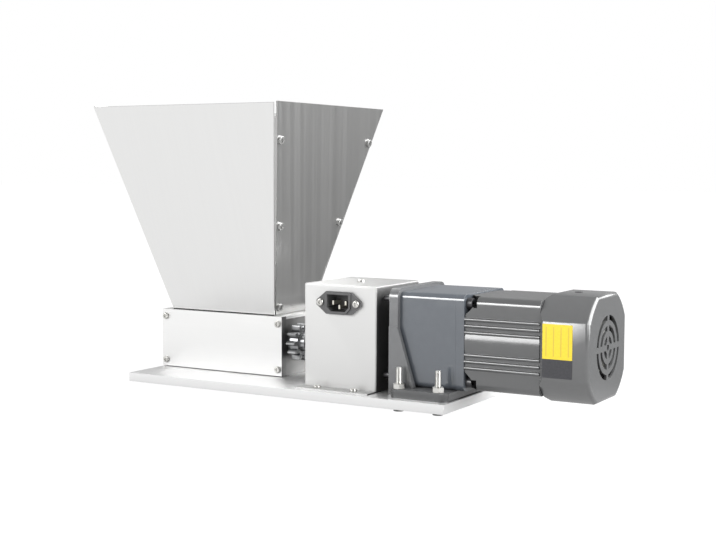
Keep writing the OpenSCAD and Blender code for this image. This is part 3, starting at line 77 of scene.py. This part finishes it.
def noise(tree, scale, detail=3.0, roughness=0.55, lean=0.0):
    """Noise stretched along the axis of the lowest scale; lean slants it from z towards y."""
    node = tree.nodes.new("ShaderNodeTexNoise")
    node.inputs["Scale"].default_value = 1.0
    node.inputs["Detail"].default_value = detail
    node.inputs["Roughness"].default_value = roughness
    vector = object_coords(tree, scale)
    if lean:
        join = tree.nodes.new("ShaderNodeCombineXYZ")
        place = object_coords(tree, UNSCALED)
        for socket, axis, factor in zip(join.inputs, ((1, 0, 0), (0, 1, lean), (0, 0, 1)), scale):
            tree.links.new(math_node(tree, "MULTIPLY", along(tree, place, axis), factor), socket)
        vector = join.outputs["Vector"]
    tree.links.new(vector, node.inputs["Vector"])
    return node.outputs["Fac"]


def to_range(tree, value, low, high, from_low=0.3, from_high=0.7):
    node = tree.nodes.new("ShaderNodeMapRange")
    node.inputs["From Min"].default_value = from_low
    node.inputs["From Max"].default_value = from_high
    node.inputs["To Min"].default_value = low
    node.inputs["To Max"].default_value = high
    tree.links.new(value, node.inputs["Value"])
    return node.outputs["Result"]


def math_node(tree, operation, a, b):
    node = tree.nodes.new("ShaderNodeMath")
    node.operation = operation
    for socket, value in zip(node.inputs, (a, b)):
        if isinstance(value, (int, float)):
            socket.default_value = value
        else:
            tree.links.new(value, socket)
    return node.outputs["Value"]


def along(tree, vector, direction):
    dot = tree.nodes.new("ShaderNodeVectorMath")
    dot.operation = "DOT_PRODUCT"
    dot.inputs[1].default_value = Vector(direction).normalized()
    tree.links.new(vector, dot.inputs[0])
    return dot.outputs["Value"]


def mix_colour(tree, factor, a, b):
    node = tree.nodes.new("ShaderNodeMix")
    node.data_type = "RGBA"
    tree.links.new(factor, node.inputs["Factor"])
    for socket, value in ((node.inputs[6], a), (node.inputs[7], b)):
        if isinstance(value, tuple):
            socket.default_value = (*value, 1.0)
        else:
            tree.links.new(value, socket)
    return node.outputs[2]


def shade(colour, factor):
    return tuple(min(1.0, c * factor) for c in colour)


def add_bump(tree, bsdf, height, strength, distance):
    bump = tree.nodes.new("ShaderNodeBump")
    bump.inputs["Strength"].default_value = strength
    bump.inputs["Distance"].default_value = distance
    tree.links.new(height, bump.inputs["Height"])
    tree.links.new(bump.outputs["Normal"], bsdf.inputs["Normal"])


def finish_surface(tree, bsdf, colour, factor, spread, rough, rough_spread, smudge_scale):
    """Colour and roughness that vary with a texture, and with broad faint smudges."""
    smudge = noise(tree, (smudge_scale,) * 3, 2.0)
    varied = mix_colour(tree, factor, shade(colour, 1 - spread), shade(colour, 1 + spread))
    smudged = mix_colour(tree, to_range(tree, smudge, 0.0, 0.25), varied, shade(colour, 1 - spread))
    tree.links.new(smudged, bsdf.inputs["Base Color"])
    grain = to_range(tree, factor, rough - rough_spread, rough + rough_spread)
    tree.links.new(math_node(tree, "ADD", grain, to_range(tree, smudge, 0.0, rough_spread)),
                   bsdf.inputs["Roughness"])


def darken_past(tree, bsdf, direction, level, blend, colour):
    """Paints shade: turns a finished surface to another colour past a level along a direction, with
    a blend.
    """
    reach = along(tree, object_coords(tree, UNSCALED), direction)
    past = to_range(tree, reach, 0.0, 1.0, level - blend, level + blend)
    clean = bsdf.inputs["Base Color"].links[0].from_socket
    tree.links.new(mix_colour(tree, past, clean, colour), bsdf.inputs["Base Color"])


def brushed(name, colour, rough, scale, spread=0.06, strength=0.12, metallic=1.0, smudge_scale=9.0,
            foot=None, blend=0.3 * MM, painted_shade=(0.03, 0.03, 0.03), detail=4.0, lean=0.0, rim=1.0):
    """Metal with brush marks; scale is low along the marks and high across them.

    Shade is painted below foot, and a rim under 1 dulls what is seen at a glancing angle.
    """
    mat, tree, bsdf = new_tree(name)
    bsdf.inputs["Metallic"].default_value = metallic
    bsdf.inputs["Specular Tint"].default_value = (rim, rim, rim, 1.0)
    marks = noise(tree, scale, detail, 0.65, lean)
    factor = to_range(tree, marks, 0.0, 1.0)
    finish_surface(tree, bsdf, colour, factor, spread, rough, min(0.015, spread), smudge_scale)
    if strength:
        add_bump(tree, bsdf, marks, strength, 0.0002)
    if foot is not None:
        darken_past(tree, bsdf, DOWN, -foot, blend, painted_shade)
    return mat


DUST_ROUGH = 0.6
FACING_UP = (0.85, 0.97)


def dull_tops(tree, bsdf):
    """Dust on the faces that look up makes them matt."""
    normal = tree.nodes.new("ShaderNodeTexCoord").outputs["Normal"]
    dust = to_range(tree, along(tree, normal, UPWARD), 0.0, DUST_ROUGH, *FACING_UP)
    clean = bsdf.inputs["Roughness"].links[0].from_socket
    tree.links.new(math_node(tree, "MAXIMUM", clean, dust), bsdf.inputs["Roughness"])


def painted(name, colour, rough, spread=0.05, peel=900.0, strength=0.1, ior=1.5,
            foot=None, painted_shade=None):
    """Paint with a fine orange-peel surface and a little dust, and painted shade below foot."""
    mat, tree, bsdf = new_tree(name)
    bsdf.inputs["IOR"].default_value = ior
    skin = noise(tree, (peel,) * 3, 2.0)
    dust = noise(tree, (140.0,) * 3, 4.0, 0.7)
    factor = to_range(tree, dust, 0.0, 1.0)
    finish_surface(tree, bsdf, colour, factor, spread, rough, 0.02, 14.0)
    dull_tops(tree, bsdf)
    add_bump(tree, bsdf, skin, strength, 0.0003)
    if foot is not None:
        darken_past(tree, bsdf, DOWN, -foot, 4.0 * MM, painted_shade)
    return mat


def moulded(name, colour, rough, spread=0.06, grain=1600.0, strength=0.15):
    """Moulded plastic or rubber with a fine spark-eroded grain."""
    mat, tree, bsdf = new_tree(name)
    skin = noise(tree, (grain,) * 3, 2.0)
    factor = to_range(tree, skin, 0.0, 1.0)
    finish_surface(tree, bsdf, colour, factor, spread, rough, 0.04, 40.0)
    add_bump(tree, bsdf, skin, strength, 0.0002)
    return mat


# Noise scales per metre, low along the marks of each finish

UP = (5.0, 350.0, 1.5)
ACROSS = (350.0, 5.0, 5.0)
LONG = (6.0, 420.0, 420.0)
TURNED = (700.0, 40.0, 40.0)
FINE = (800.0, 800.0, 800.0)

# Heights below which shade is painted into the finishes

HOPPER_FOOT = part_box("hopper_left")[0].z + 0.5 * MM
BASE_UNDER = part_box("base_plate")[0].z
BRACKET_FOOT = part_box("hex_nuts")[0].z + 1.0 * MM
GRAIN_LEAN = 0.35

SLOTS = {
    # The hopper's panels get a painted shadow along their foot, about 0.5 mm high
    "hopper_steel": brushed("hopper_steel", (0.71, 0.71, 0.705), 0.3, UP, 0.015, 0.0,
                            foot=HOPPER_FOOT, detail=1.0, lean=GRAIN_LEAN),
    "base_aluminium": brushed("base_aluminium", (0.8, 0.8, 0.8), 0.5, LONG, 0.012, 0.005),
    "mill_aluminium": brushed("mill_aluminium", (0.76, 0.76, 0.755), 0.45, LONG, 0.008, 0.003),
    "box_steel": brushed("box_steel", (0.63, 0.63, 0.625), 0.5, UP, 0.01, 0.003, rim=0.5),
    # Bolt heads below the base plate get painted shade
    "zinc_steel": brushed("zinc_steel", (0.62, 0.615, 0.59), 0.3, FINE, 0.06, 0.04,
                          smudge_scale=120.0, foot=BASE_UNDER, painted_shade=(0.16, 0.16, 0.155)),
    "black_steel": painted("black_steel", (0.018, 0.018, 0.02), 0.35, 0.2, 1500.0),
    "tool_steel": brushed("tool_steel", (0.3, 0.305, 0.31), 0.3, TURNED, 0.1, 0.15,
                          smudge_scale=60.0),
    "bronze": brushed("bronze", (0.55, 0.36, 0.16), 0.35, TURNED, 0.1, 0.1, smudge_scale=80.0),
    "knob_aluminium": brushed("knob_aluminium", (0.07, 0.07, 0.075), 0.4, FINE, 0.12, 0.1,
                              metallic=0.7, smudge_scale=80.0),
    "black_plastic": moulded("black_plastic", (0.055, 0.055, 0.057), 0.35, 0.15),
    "contact_metal": brushed("contact_metal", (0.72, 0.7, 0.62), 0.31, FINE, 0.08, 0.08,
                             smudge_scale=200.0),
    "rocker_plastic": moulded("rocker_plastic", (0.42, 0.02, 0.015), 0.22, 0.1, 900.0, 0.04),
    "capacitor_plastic": moulded("capacitor_plastic", (0.75, 0.75, 0.73), 0.4),
    "terminal_plastic": moulded("terminal_plastic", (0.72, 0.69, 0.58), 0.45),
    "coupling_aluminium": brushed("coupling_aluminium", (0.66, 0.67, 0.69), 0.3, TURNED,
                                  0.06, 0.12),
    "spider_rubber": moulded("spider_rubber", (0.35, 0.02, 0.02), 0.6, 0.1, 700.0),
    # The bracket and the gear case get painted shade at their foot, below the nuts
    "bracket_paint": painted("bracket_paint", (0.077, 0.079, 0.082), 0.22, 0.02, 400.0, 0.003, 1.7,
                             foot=BRACKET_FOOT, painted_shade=(0.03, 0.031, 0.032)),
    "gear_paint": painted("gear_paint", (0.057, 0.064, 0.074), 0.14, 0.03, 400.0, 0.003, 1.75,
                          foot=BRACKET_FOOT, painted_shade=(0.03, 0.033, 0.037)),
    "motor_paint": painted("motor_paint", (0.05, 0.051, 0.052), 0.16, 0.03, 400.0, 0.003, 1.75),
    "lamination": brushed("lamination", (0.3, 0.3, 0.31), 0.4, (2500.0, 30.0, 30.0), 0.2, 0.3),
    "copper": brushed("copper", (0.5, 0.2, 0.08), 0.35, (900.0, 90.0, 90.0), 0.2, 0.4),
    "fan_plastic": moulded("fan_plastic", (0.55, 0.55, 0.53), 0.45),
}


# The label's dark band, rules and their length and half width, as shares of its size

DARK_BAND = 0.35
RULES = 4
RULE_REACH = 0.42
RULE_HALF = 0.09


def label_material():
    """Plain yellow film with faint ruled lines over a plain dark band."""
    low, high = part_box("rating_label")
    split = low.z + DARK_BAND * (high.z - low.z)
    mat, tree, bsdf = new_tree("label_film")
    coord = tree.nodes.new("ShaderNodeTexCoord")
    split_xyz = tree.nodes.new("ShaderNodeSeparateXYZ")
    tree.links.new(coord.outputs["Object"], split_xyz.inputs["Vector"])
    height = split_xyz.outputs["Z"]
    upper = math_node(tree, "GREATER_THAN", height, split)
    pitch = (high.x - low.x) / RULES
    from_left = math_node(tree, "SUBTRACT", split_xyz.outputs["X"], low.x)
    column = math_node(tree, "DIVIDE", from_left, pitch)
    across = math_node(tree, "SUBTRACT", math_node(tree, "FRACT", column, 0.0), 0.5)
    aside = math_node(tree, "ABSOLUTE", across, 0.0)
    from_middle = math_node(tree, "SUBTRACT", height, (split + high.z) / 2)
    middle = math_node(tree, "ABSOLUTE", from_middle, 0.0)
    inside = math_node(tree, "LESS_THAN", middle, RULE_REACH * (high.z - split))
    rule = math_node(tree, "MULTIPLY", math_node(tree, "LESS_THAN", aside, RULE_HALF), inside)
    speck = to_range(tree, noise(tree, (600.0,) * 3), 0.0, 1.0)
    yellow = mix_colour(tree, speck, (0.5, 0.375, 0.011), (0.55, 0.42, 0.016))
    ruled = mix_colour(tree, rule, yellow, (0.4, 0.3, 0.025))
    dark = mix_colour(tree, speck, (0.012, 0.012, 0.015), (0.02, 0.02, 0.024))
    tree.links.new(mix_colour(tree, upper, dark, ruled), bsdf.inputs["Base Color"])
    tree.links.new(to_range(tree, speck, 0.28, 0.36, 0.0, 1.0), bsdf.inputs["Roughness"])
    return mat


SLOTS["label_film"] = label_material()


SHADE_DEEP = 0.35 * MM
SHADE_BLEND = 0.1 * MM
SHADE_COLOUR = (0.2, 0.2, 0.2)


def end_in_shade(node, mat):
    """A finish for a node whose right end, close to its neighbour, is in shade."""
    tree = mat.node_tree
    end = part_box(node)[1].x - SHADE_DEEP
    darken_past(tree, tree.nodes["Principled BSDF"], RIGHT, end, SHADE_BLEND, SHADE_COLOUR)
    return mat


# Finishes of single nodes where they differ from the rest of their slot
VARIANTS = {
    # The front and rear panels carry the same painted shadow along their foot
    "hopper_front": brushed("hopper_steel_wide", (0.735, 0.735, 0.73), 0.3, ACROSS, 0.006, 0.0,
                            foot=HOPPER_FOOT, detail=1.0),
    # A darker copy of the hopper steel, painted shade for the right panel, with painted shade
    # deepening towards its foot
    "hopper_right": brushed("hopper_steel_shaded", (0.59, 0.59, 0.585), 0.3, UP, 0.015, 0.0,
                            foot=HOPPER_FOOT + 8 * MM, blend=9 * MM, painted_shade=(0.26, 0.26, 0.255),
                            detail=1.0, lean=GRAIN_LEAN),
    "control_box": end_in_shade(
        "control_box",
        brushed("box_steel_shaded", (0.63, 0.63, 0.625), 0.5, UP, 0.01, 0.003, rim=0.5)),
    "mill_front_plate": end_in_shade(
        "mill_front_plate",
        brushed("plate_aluminium", (0.76, 0.76, 0.755), 0.45, LONG, 0.008, 0.003)),
    # A darker copy of the mill aluminium: painted shade on the mill's right side
    "mill_side_right": brushed("mill_aluminium_shaded", (0.24, 0.24, 0.237), 0.45, LONG,
                               0.008, 0.003),
    "inlet_body": moulded("inlet_plastic", (0.12, 0.12, 0.122), 0.33, 0.1),
    "fan_cover": painted("cover_paint", (0.066, 0.067, 0.068), 0.19, 0.03, 400.0, 0.003, 1.7),
    "hopper_screws": brushed("screw_steel", (0.36, 0.36, 0.355), 0.45, FINE, 0.06, 0.02,
                             smudge_scale=120.0),
}
VARIANTS["hopper_rear"] = VARIANTS["hopper_front"]


# Carried-over nodes: finish by slot, edges eased by a bevel whose width is in millimetres

EDGES = {
    "base_plate": 0.5, "mill_front_plate": 0.5, "mill_rear_plate": 0.5, "motor_bracket": 1.8,
    "gear_case": 0.6, "motor_flange": 0.6, "stator_housing": 0.5, "fan_cover": 0.4,
    "inlet_body": 0.4, "rating_label": 0.0, "hopper_front": 0.0, "hopper_rear": 0.0,
    "hopper_left": 0.0, "hopper_right": 0.0, "control_box": 0.3, "control_box_back": 0.3,
}
EDGE = 0.25
SMOOTH_ANGLE = math.radians(30)
BEVEL_ANGLE = math.radians(35)
FLAT_ANGLE = math.radians(0.5)


def make_cleaner():
    """Joins the vertices of a carried-over mesh and shades it smooth up to an edge angle."""
    group = bpy.data.node_groups.new("clean_edges", "GeometryNodeTree")
    group.interface.new_socket("Geometry", in_out="INPUT", socket_type="NodeSocketGeometry")
    group.interface.new_socket("Geometry", in_out="OUTPUT", socket_type="NodeSocketGeometry")
    entry = group.nodes.new("NodeGroupInput")
    leave = group.nodes.new("NodeGroupOutput")
    merge = group.nodes.new("GeometryNodeMergeByDistance")
    merge.inputs["Distance"].default_value = WELD
    remove = group.nodes.new("GeometryNodeRemoveAttribute")
    remove.inputs["Name"].default_value = "custom_normal"
    faces = group.nodes.new("GeometryNodeSetShadeSmooth")
    edges = group.nodes.new("GeometryNodeSetShadeSmooth")
    edges.domain = "EDGE"
    angle = group.nodes.new("GeometryNodeInputMeshEdgeAngle")
    shallow = group.nodes.new("FunctionNodeCompare")
    shallow.operation = "LESS_THAN"
    shallow.inputs["B"].default_value = SMOOTH_ANGLE
    group.links.new(angle.outputs["Unsigned Angle"], shallow.inputs["A"])
    group.links.new(shallow.outputs["Result"], edges.inputs["Shade Smooth"])
    chain = (entry, merge, remove, faces, edges, leave)
    for a, b in zip(chain, chain[1:]):
        group.links.new(a.outputs[0], b.inputs[0])
    return group


CLEANER = make_cleaner()

for part in frame["record"]["subparts"]:
    node = nodes[part["node"]]
    node.data.materials.clear()
    node.data.materials.append(VARIANTS.get(part["node"], SLOTS[part["material_slot"]]))
    node.modifiers.new("clean", "NODES").node_group = CLEANER
    flat = node.modifiers.new("flat", "DECIMATE")
    flat.decimate_type = "DISSOLVE"
    flat.angle_limit = FLAT_ANGLE
    width = EDGES.get(part["node"], EDGE)
    if width:
        bevel = node.modifiers.new("bevel", "BEVEL")
        bevel.width = width * MM
        bevel.segments = 3
        bevel.limit_method = "ANGLE"
        bevel.angle_limit = BEVEL_ANGLE
        bevel.harden_normals = True


# Fasteners with drive recesses, chamfers and threads, built over the solids of their nodes

def islands(node):
    """The separate solids of a node, each as an array of its points."""
    bm = bmesh.new()
    bm.from_mesh(nodes[node].data)
    bmesh.ops.remove_doubles(bm, verts=bm.verts, dist=WELD)
    bm.verts.index_update()
    seen = set()
    found = []
    for start in bm.verts:
        if start.index in seen:
            continue
        seen.add(start.index)
        stack = [start]
        points = []
        while stack:
            vert = stack.pop()
            points.append(tuple(vert.co))
            for edge in vert.link_edges:
                other = edge.other_vert(vert)
                if other.index not in seen:
                    seen.add(other.index)
                    stack.append(other)
        found.append(np.array(points))
    bm.free()
    return found


class Turned:
    """Axis, ends and radii of a solid of revolution, read from its points.

    The axis points to its head.
    """

    def __init__(self, points):
        centre = (points.min(axis=0) + points.max(axis=0)) / 2
        values, vectors = np.linalg.eigh(np.cov(points.T))
        axis = vectors[:, 2] if values[2] - values[1] > values[1] - values[0] else vectors[:, 0]
        reach = (points - centre) @ axis
        radius = np.linalg.norm(points - centre - np.outer(reach, axis), axis=1)
        wide = radius > 0.8 * radius.max()
        if reach[wide].mean() < reach.mean():
            axis = -axis
            reach = -reach
        self.axis = Vector(axis)
        self.head_r = float(radius.max())
        self.shank_r = float(radius[reach < reach.min() + TOUCH].max())
        self.head_low = float(reach[wide].min())
        self.top = float(reach.max())
        self.tip = float(reach.min())
        turn = Vector((0, 0, 1)).rotation_difference(self.axis)
        self.matrix = Matrix.Translation(Vector(centre)) @ turn.to_matrix().to_4x4()


def ring_of(bm, count, radius_at, height_at):
    ring = []
    for i in range(count):
        angle = 2 * math.pi * i / count
        radius = radius_at(angle)
        x, y = radius * math.cos(angle), radius * math.sin(angle)
        ring.append(bm.verts.new((x, y, height_at(angle))))
    return ring


def round_ring(bm, count, radius, height):
    return ring_of(bm, count, lambda a: radius, lambda a: height)


def bridge(bm, low, high):
    count = len(low)
    for i in range(count):
        j = (i + 1) % count
        bm.faces.new((low[i], low[j], high[j], high[i]))


def cross_recess(bm, rim, height, radius, depth):
    """Closes a round rim with a flat land and a cross-shaped recess."""
    arm, half = 0.56 * radius, 0.15 * radius
    corners = [(arm, -half), (arm, half), (half, half), (half, arm),
               (-half, arm), (-half, half), (-arm, half), (-arm, -half),
               (-half, -half), (-half, -arm), (half, -arm), (half, -half)]
    mouth = [bm.verts.new((x, y, height)) for x, y in corners]
    floor = [bm.verts.new((0.6 * x, 0.6 * y, height - depth)) for x, y in corners]
    edges = [bm.edges.new((a, b)) for a, b in zip(mouth, mouth[1:] + mouth[:1])]
    edges += [e for e in bm.edges if e.verts[0] in rim and e.verts[1] in rim]
    bmesh.ops.triangle_fill(bm, use_beauty=True, edges=edges)
    bridge(bm, floor, mouth)
    bm.faces.new(floor)


# Head profiles, as shares of the head's radius and height

PAN = ((1.0, 0.06), (1.0, 0.45), (0.96, 0.68), (0.87, 0.86), (0.74, 0.97), (0.66, 1.0))
CHEESE = ((1.0, 0.06), (1.0, 0.78), (0.97, 0.93), (0.91, 1.0))
FLUSH_HEAD = 0.3 * MM


def build_screw(bm, shape, profile):
    """Raised head, or a flush flat head, with a cross recess on a plain shank."""
    count = 24
    lift = shape.top - shape.head_low
    rings = [round_ring(bm, count, 0.7 * shape.shank_r, shape.tip),
             round_ring(bm, count, shape.shank_r, shape.tip + 0.3 * shape.shank_r)]
    bm.faces.new(list(reversed(rings[0])))
    if lift < FLUSH_HEAD:
        taper_low = shape.top - (shape.head_r - shape.shank_r)
        rings.append(round_ring(bm, count, shape.shank_r, taper_low))
        rings.append(round_ring(bm, count, shape.head_r, shape.top))
        rings.append(round_ring(bm, count, 0.97 * shape.head_r, shape.top))
    else:
        rings.append(round_ring(bm, count, shape.shank_r, shape.head_low))
        rings.append(round_ring(bm, count, 0.96 * shape.head_r, shape.head_low))
        for radius, part in profile:
            height = shape.head_low + part * lift
            rings.append(round_ring(bm, count, radius * shape.head_r, height))
    for low_ring, high_ring in zip(rings, rings[1:]):
        bridge(bm, low_ring, high_ring)
    cross_recess(bm, set(rings[-1]), shape.top, shape.head_r, 0.34 * shape.head_r)


def hex_radius(flats, angle):
    return flats / 2 / math.cos(angle % math.radians(60) - math.radians(30))


def hex_prism(bm, flats, low, high, bore, chamfer_high):
    """Hexagon with a chamfer round its low end, and round its high end too if asked."""
    count = 48
    inner = 0.94 * flats / 2
    slope = math.tan(math.radians(28))

    def side(angle):
        return hex_radius(flats, angle)

    def rise(angle):
        return slope * (side(angle) - inner)

    rings = [round_ring(bm, count, bore, low), round_ring(bm, count, inner, low),
             ring_of(bm, count, side, lambda a: low + rise(a))]
    if chamfer_high:
        rings.append(ring_of(bm, count, side, lambda a: high - rise(a)))
        rings.append(round_ring(bm, count, inner, high))
    else:
        rings.append(ring_of(bm, count, side, lambda a: high))
    rings.append(round_ring(bm, count, bore, high))
    for low_ring, high_ring in zip(rings, rings[1:]):
        bridge(bm, low_ring, high_ring)
    return rings


def threaded_rod(bm, radius, low, high, pitch):
    """Rod with a true helical thread and a chamfered end."""
    count, steps = 24, 6
    depth = 0.3 * pitch
    total = int((high - low) / pitch * steps)

    def thread(angle, height):
        wave = ((height - low) / pitch - angle / (2 * math.pi)) % 1.0
        groove = abs(2 * wave - 1)
        taper = max(0.0, height - (high - pitch)) / pitch
        return radius - depth * groove - 0.12 * radius * taper

    rings = []
    for i in range(total + 1):
        height = low + (high - low) * i / total
        rings.append(ring_of(bm, count, lambda a: thread(a, height), lambda a: height))
    for low_ring, high_ring in zip(rings, rings[1:]):
        bridge(bm, low_ring, high_ring)
    bm.faces.new(rings[-1])


def make_piece(name, bm, slot, body, *replaced):
    bmesh.ops.recalc_face_normals(bm, faces=bm.faces)
    mesh = bpy.data.meshes.new(name)
    for face in bm.faces:
        face.smooth = True
    bm.to_mesh(mesh)
    bm.free()
    mesh.set_sharp_from_angle(angle=SMOOTH_ANGLE)
    mesh.materials.append(VARIANTS.get(replaced[0], SLOTS[slot]))
    piece = bpy.data.objects.new(name, mesh)
    bpy.context.scene.collection.objects.link(piece)
    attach(piece, body)
    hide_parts(*replaced)


def merge_in(bm, part, matrix):
    part.transform(matrix)
    mesh = bpy.data.meshes.new("scratch")
    part.to_mesh(mesh)
    part.free()
    bm.from_mesh(mesh)
    bpy.data.meshes.remove(mesh)


def make_screws(node):
    group = bmesh.new()
    for points in islands(node):
        shape = Turned(points)
        part = bmesh.new()
        build_screw(part, shape, CHEESE if node == "hopper_screws" else PAN)
        merge_in(group, part, shape.matrix)
    make_piece(node + "_cross", group, "zinc_steel", "frame", node)


for screw_node in ("mill_screws", "hopper_screws", "box_screws", "inlet_screws"):
    make_screws(screw_node)


BOLT_R = 3 * MM
BOLT_HEAD = 4 * MM
BOLT_PITCH = 1 * MM
NUT_CLEAR = 0.02 * MM


def make_base_bolts():
    group = bmesh.new()
    for points in islands("base_bolts"):
        part = bmesh.new()
        head = points[points[:, 2] < TOUCH]
        centre = (head.min(axis=0) + head.max(axis=0)) / 2
        top = float(points[:, 2].max())
        flats = float(head[:, 1].max() - head[:, 1].min())
        rings = hex_prism(part, flats, 0.0, BOLT_HEAD, BOLT_R, False)
        part.faces.new(list(reversed(rings[0])))
        threaded_rod(part, BOLT_R, BOLT_HEAD, top, BOLT_PITCH)
        merge_in(group, part, Matrix.Translation((centre[0], centre[1], 0.0)))
    make_piece("base_bolts_threaded", group, "zinc_steel", "frame", "base_bolts")


def make_nuts():
    group = bmesh.new()
    for points in islands("hex_nuts"):
        part = bmesh.new()
        centre = (points.min(axis=0) + points.max(axis=0)) / 2
        size = points.max(axis=0) - points.min(axis=0)
        flats = float(sorted(size)[1])
        half = float(min(size)) / 2
        hex_prism(part, flats, -half, half, BOLT_R + NUT_CLEAR, True)
        turn = Matrix.Identity(4)
        if int(np.argmin(size)) == 0:
            turn = Matrix(((0, 0, 1, 0), (1, 0, 0, 0), (0, 1, 0, 0), (0, 0, 0, 1)))
        merge_in(group, part, Matrix.Translation(Vector(centre)) @ turn)
    make_piece("hex_nuts_chamfered", group, "zinc_steel", "frame", "hex_nuts")


make_base_bolts()
make_nuts()


# Stage: brightness of the floor and the surround, and distances on the floor in metres

FLOOR_SIZE = 12.0
FLOOR_DROP = 0.0005
FLOOR_AWAY = (0.25, 0.97, 0.0)
FLOOR_DEEP = 0.25
UNDER_EDGE = (0.01, 0.04)
FLOOR_SEEN = 1.0
FLOOR_FRONT = 1.0
FLOOR_BACK = 0.13
FLOOR_SHADOW_UNDER = 0.45
FLOOR_ALBEDO = 0.06
SURROUND_DARK = 0.2
SURROUND_BRIGHT = 0.86
SURROUND_BLEND = (-0.6, 0.4)
CEILING = 0.65
CEILING_BLEND = (0.15, 0.6)


def make_floor():
    """Light table that the camera sees white all over.

    Reflections see it white in front, greyer behind, and greyer under the part as a painted shadow.
    """
    mesh = bpy.data.meshes.new("floor")
    square = ((-1, -1), (1, -1), (1, 1), (-1, 1))
    corners = [(x * FLOOR_SIZE, y * FLOOR_SIZE, 0) for x, y in square]
    mesh.from_pydata(corners, [], [(0, 1, 2, 3)])
    mat, tree, bsdf = new_tree("floor_white")
    bsdf.inputs["Base Color"].default_value = (FLOOR_ALBEDO, FLOOR_ALBEDO, FLOOR_ALBEDO, 1.0)
    bsdf.inputs["Roughness"].default_value = 0.9
    bsdf.inputs["Specular IOR Level"].default_value = 0.0
    bsdf.inputs["Emission Color"].default_value = (1.0, 1.0, 1.0, 1.0)
    place = object_coords(tree, UNSCALED)
    away = along(tree, place, FLOOR_AWAY)
    glow = to_range(tree, away, FLOOR_FRONT, FLOOR_BACK, 0.0, FLOOR_DEEP)
    low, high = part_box("base_plate")
    outside = []
    for side, axis in enumerate((RIGHT, BACK)):
        middle = (low[side] + high[side]) / 2
        half = (high[side] - low[side]) / 2
        offset = math_node(tree, "SUBTRACT", along(tree, place, axis), middle)
        past = math_node(tree, "SUBTRACT", math_node(tree, "ABSOLUTE", offset, 0.0), half)
        outside.append(math_node(tree, "POWER", math_node(tree, "MAXIMUM", past, 0.0), 2.0))
    apart = math_node(tree, "SQRT", math_node(tree, "ADD", *outside), 0.0)
    # Painted shadow: the glow that reflections see drops under the base plate and close round it
    clear = to_range(tree, apart, FLOOR_SHADOW_UNDER, 1.0, *UNDER_EDGE)
    glow = math_node(tree, "MULTIPLY", glow, clear)
    seen = tree.nodes.new("ShaderNodeLightPath").outputs["Is Camera Ray"]
    hidden = math_node(tree, "SUBTRACT", 1.0, seen)
    strength = math_node(tree, "ADD", math_node(tree, "MULTIPLY", seen, FLOOR_SEEN),
                         math_node(tree, "MULTIPLY", hidden, glow))
    tree.links.new(strength, bsdf.inputs["Emission Strength"])
    mesh.materials.append(mat)
    floor = bpy.data.objects.new("floor", mesh)
    floor.location.z = -FLOOR_DROP
    bpy.context.scene.collection.objects.link(floor)


PAINT_SLOTS = ("bracket_paint", "gear_paint", "motor_paint", "black_steel", "label_film")


def paint_receivers():
    """The painted pieces, which have two lights of their own for their edges."""
    group = bpy.data.collections.new("painted")
    for part in frame["record"]["subparts"]:
        if part["material_slot"] in PAINT_SLOTS:
            group.objects.link(nodes[part["node"]])
    return group


def area_light(name, place, target, size, radiance, receivers=None):
    data = bpy.data.lights.new(name, "AREA")
    data.shape = "RECTANGLE"
    data.size, data.size_y = size
    data.energy = radiance * math.pi * size[0] * size[1]
    light = bpy.data.objects.new(name, data)
    light.location = place
    light.rotation_euler = (Vector(target) - Vector(place)).to_track_quat("-Z", "Y").to_euler()
    bpy.context.scene.collection.objects.link(light)
    light.light_linking.receiver_collection = receivers


def make_world():
    """Soft studio surround: bright on the left, darker on the right and overhead.

    The camera sees it white all over.
    """
    scene = bpy.context.scene
    world = scene.world or bpy.data.worlds.new("studio")
    scene.world = world
    world.use_nodes = True
    tree = world.node_tree
    background = tree.nodes["Background"]
    background.inputs["Color"].default_value = (1.0, 1.0, 1.0, 1.0)
    coord = tree.nodes.new("ShaderNodeTexCoord").outputs["Generated"]
    left = along(tree, coord, LEFT)
    side = to_range(tree, left, SURROUND_DARK, SURROUND_BRIGHT, *SURROUND_BLEND)
    overhead = to_range(tree, along(tree, coord, UPWARD), 1.0, CEILING, *CEILING_BLEND)
    surround = math_node(tree, "MULTIPLY", side, overhead)
    seen = tree.nodes.new("ShaderNodeLightPath").outputs["Is Camera Ray"]
    hidden = math_node(tree, "SUBTRACT", 1.0, seen)
    strength = math_node(tree, "ADD", seen, math_node(tree, "MULTIPLY", hidden, surround))
    tree.links.new(strength, background.inputs["Strength"])


CAMERA_LENS = 65.47
CAMERA_PLACE = (0.6564, -1.1409, 0.2260)
CAMERA_TURN = (85.55, -0.19, 30.22)


def make_camera():
    data = bpy.data.cameras.new("camera")
    data.sensor_fit = "HORIZONTAL"
    data.sensor_width = 36.0
    data.lens = CAMERA_LENS
    data.clip_end = 50.0
    camera = bpy.data.objects.new("camera", data)
    camera.location = CAMERA_PLACE
    camera.rotation_euler = [math.radians(angle) for angle in CAMERA_TURN]
    bpy.context.scene.collection.objects.link(camera)
    bpy.context.scene.camera = camera


make_floor()
make_world()
make_camera()
area_light("strip", (-1.1, -1.7, 0.85), (0.0, 0.0, 0.1), (1.6, 0.5), 7.0)
area_light("side", (1.95, 0.5, 1.15), (0.2, 0.0, 0.05), (2.4, 2.4), 10.0)
area_light("back", (1.2, 2.4, 0.95), (0.1, 0.0, 0.1), (1.6, 0.6), 6.0)
painted_pieces = paint_receivers()
area_light("crease", (-1.1, -1.7, 0.64), (0.1, 0.0, 0.1), (1.6, 0.9), 9.0, painted_pieces)
area_light("edge", (1.49, -1.05, 0.97), (0.1, -0.05, 0.08), (1.2, 1.2), 5.5, painted_pieces)

bpy.context.scene.view_settings.view_transform = "Standard"
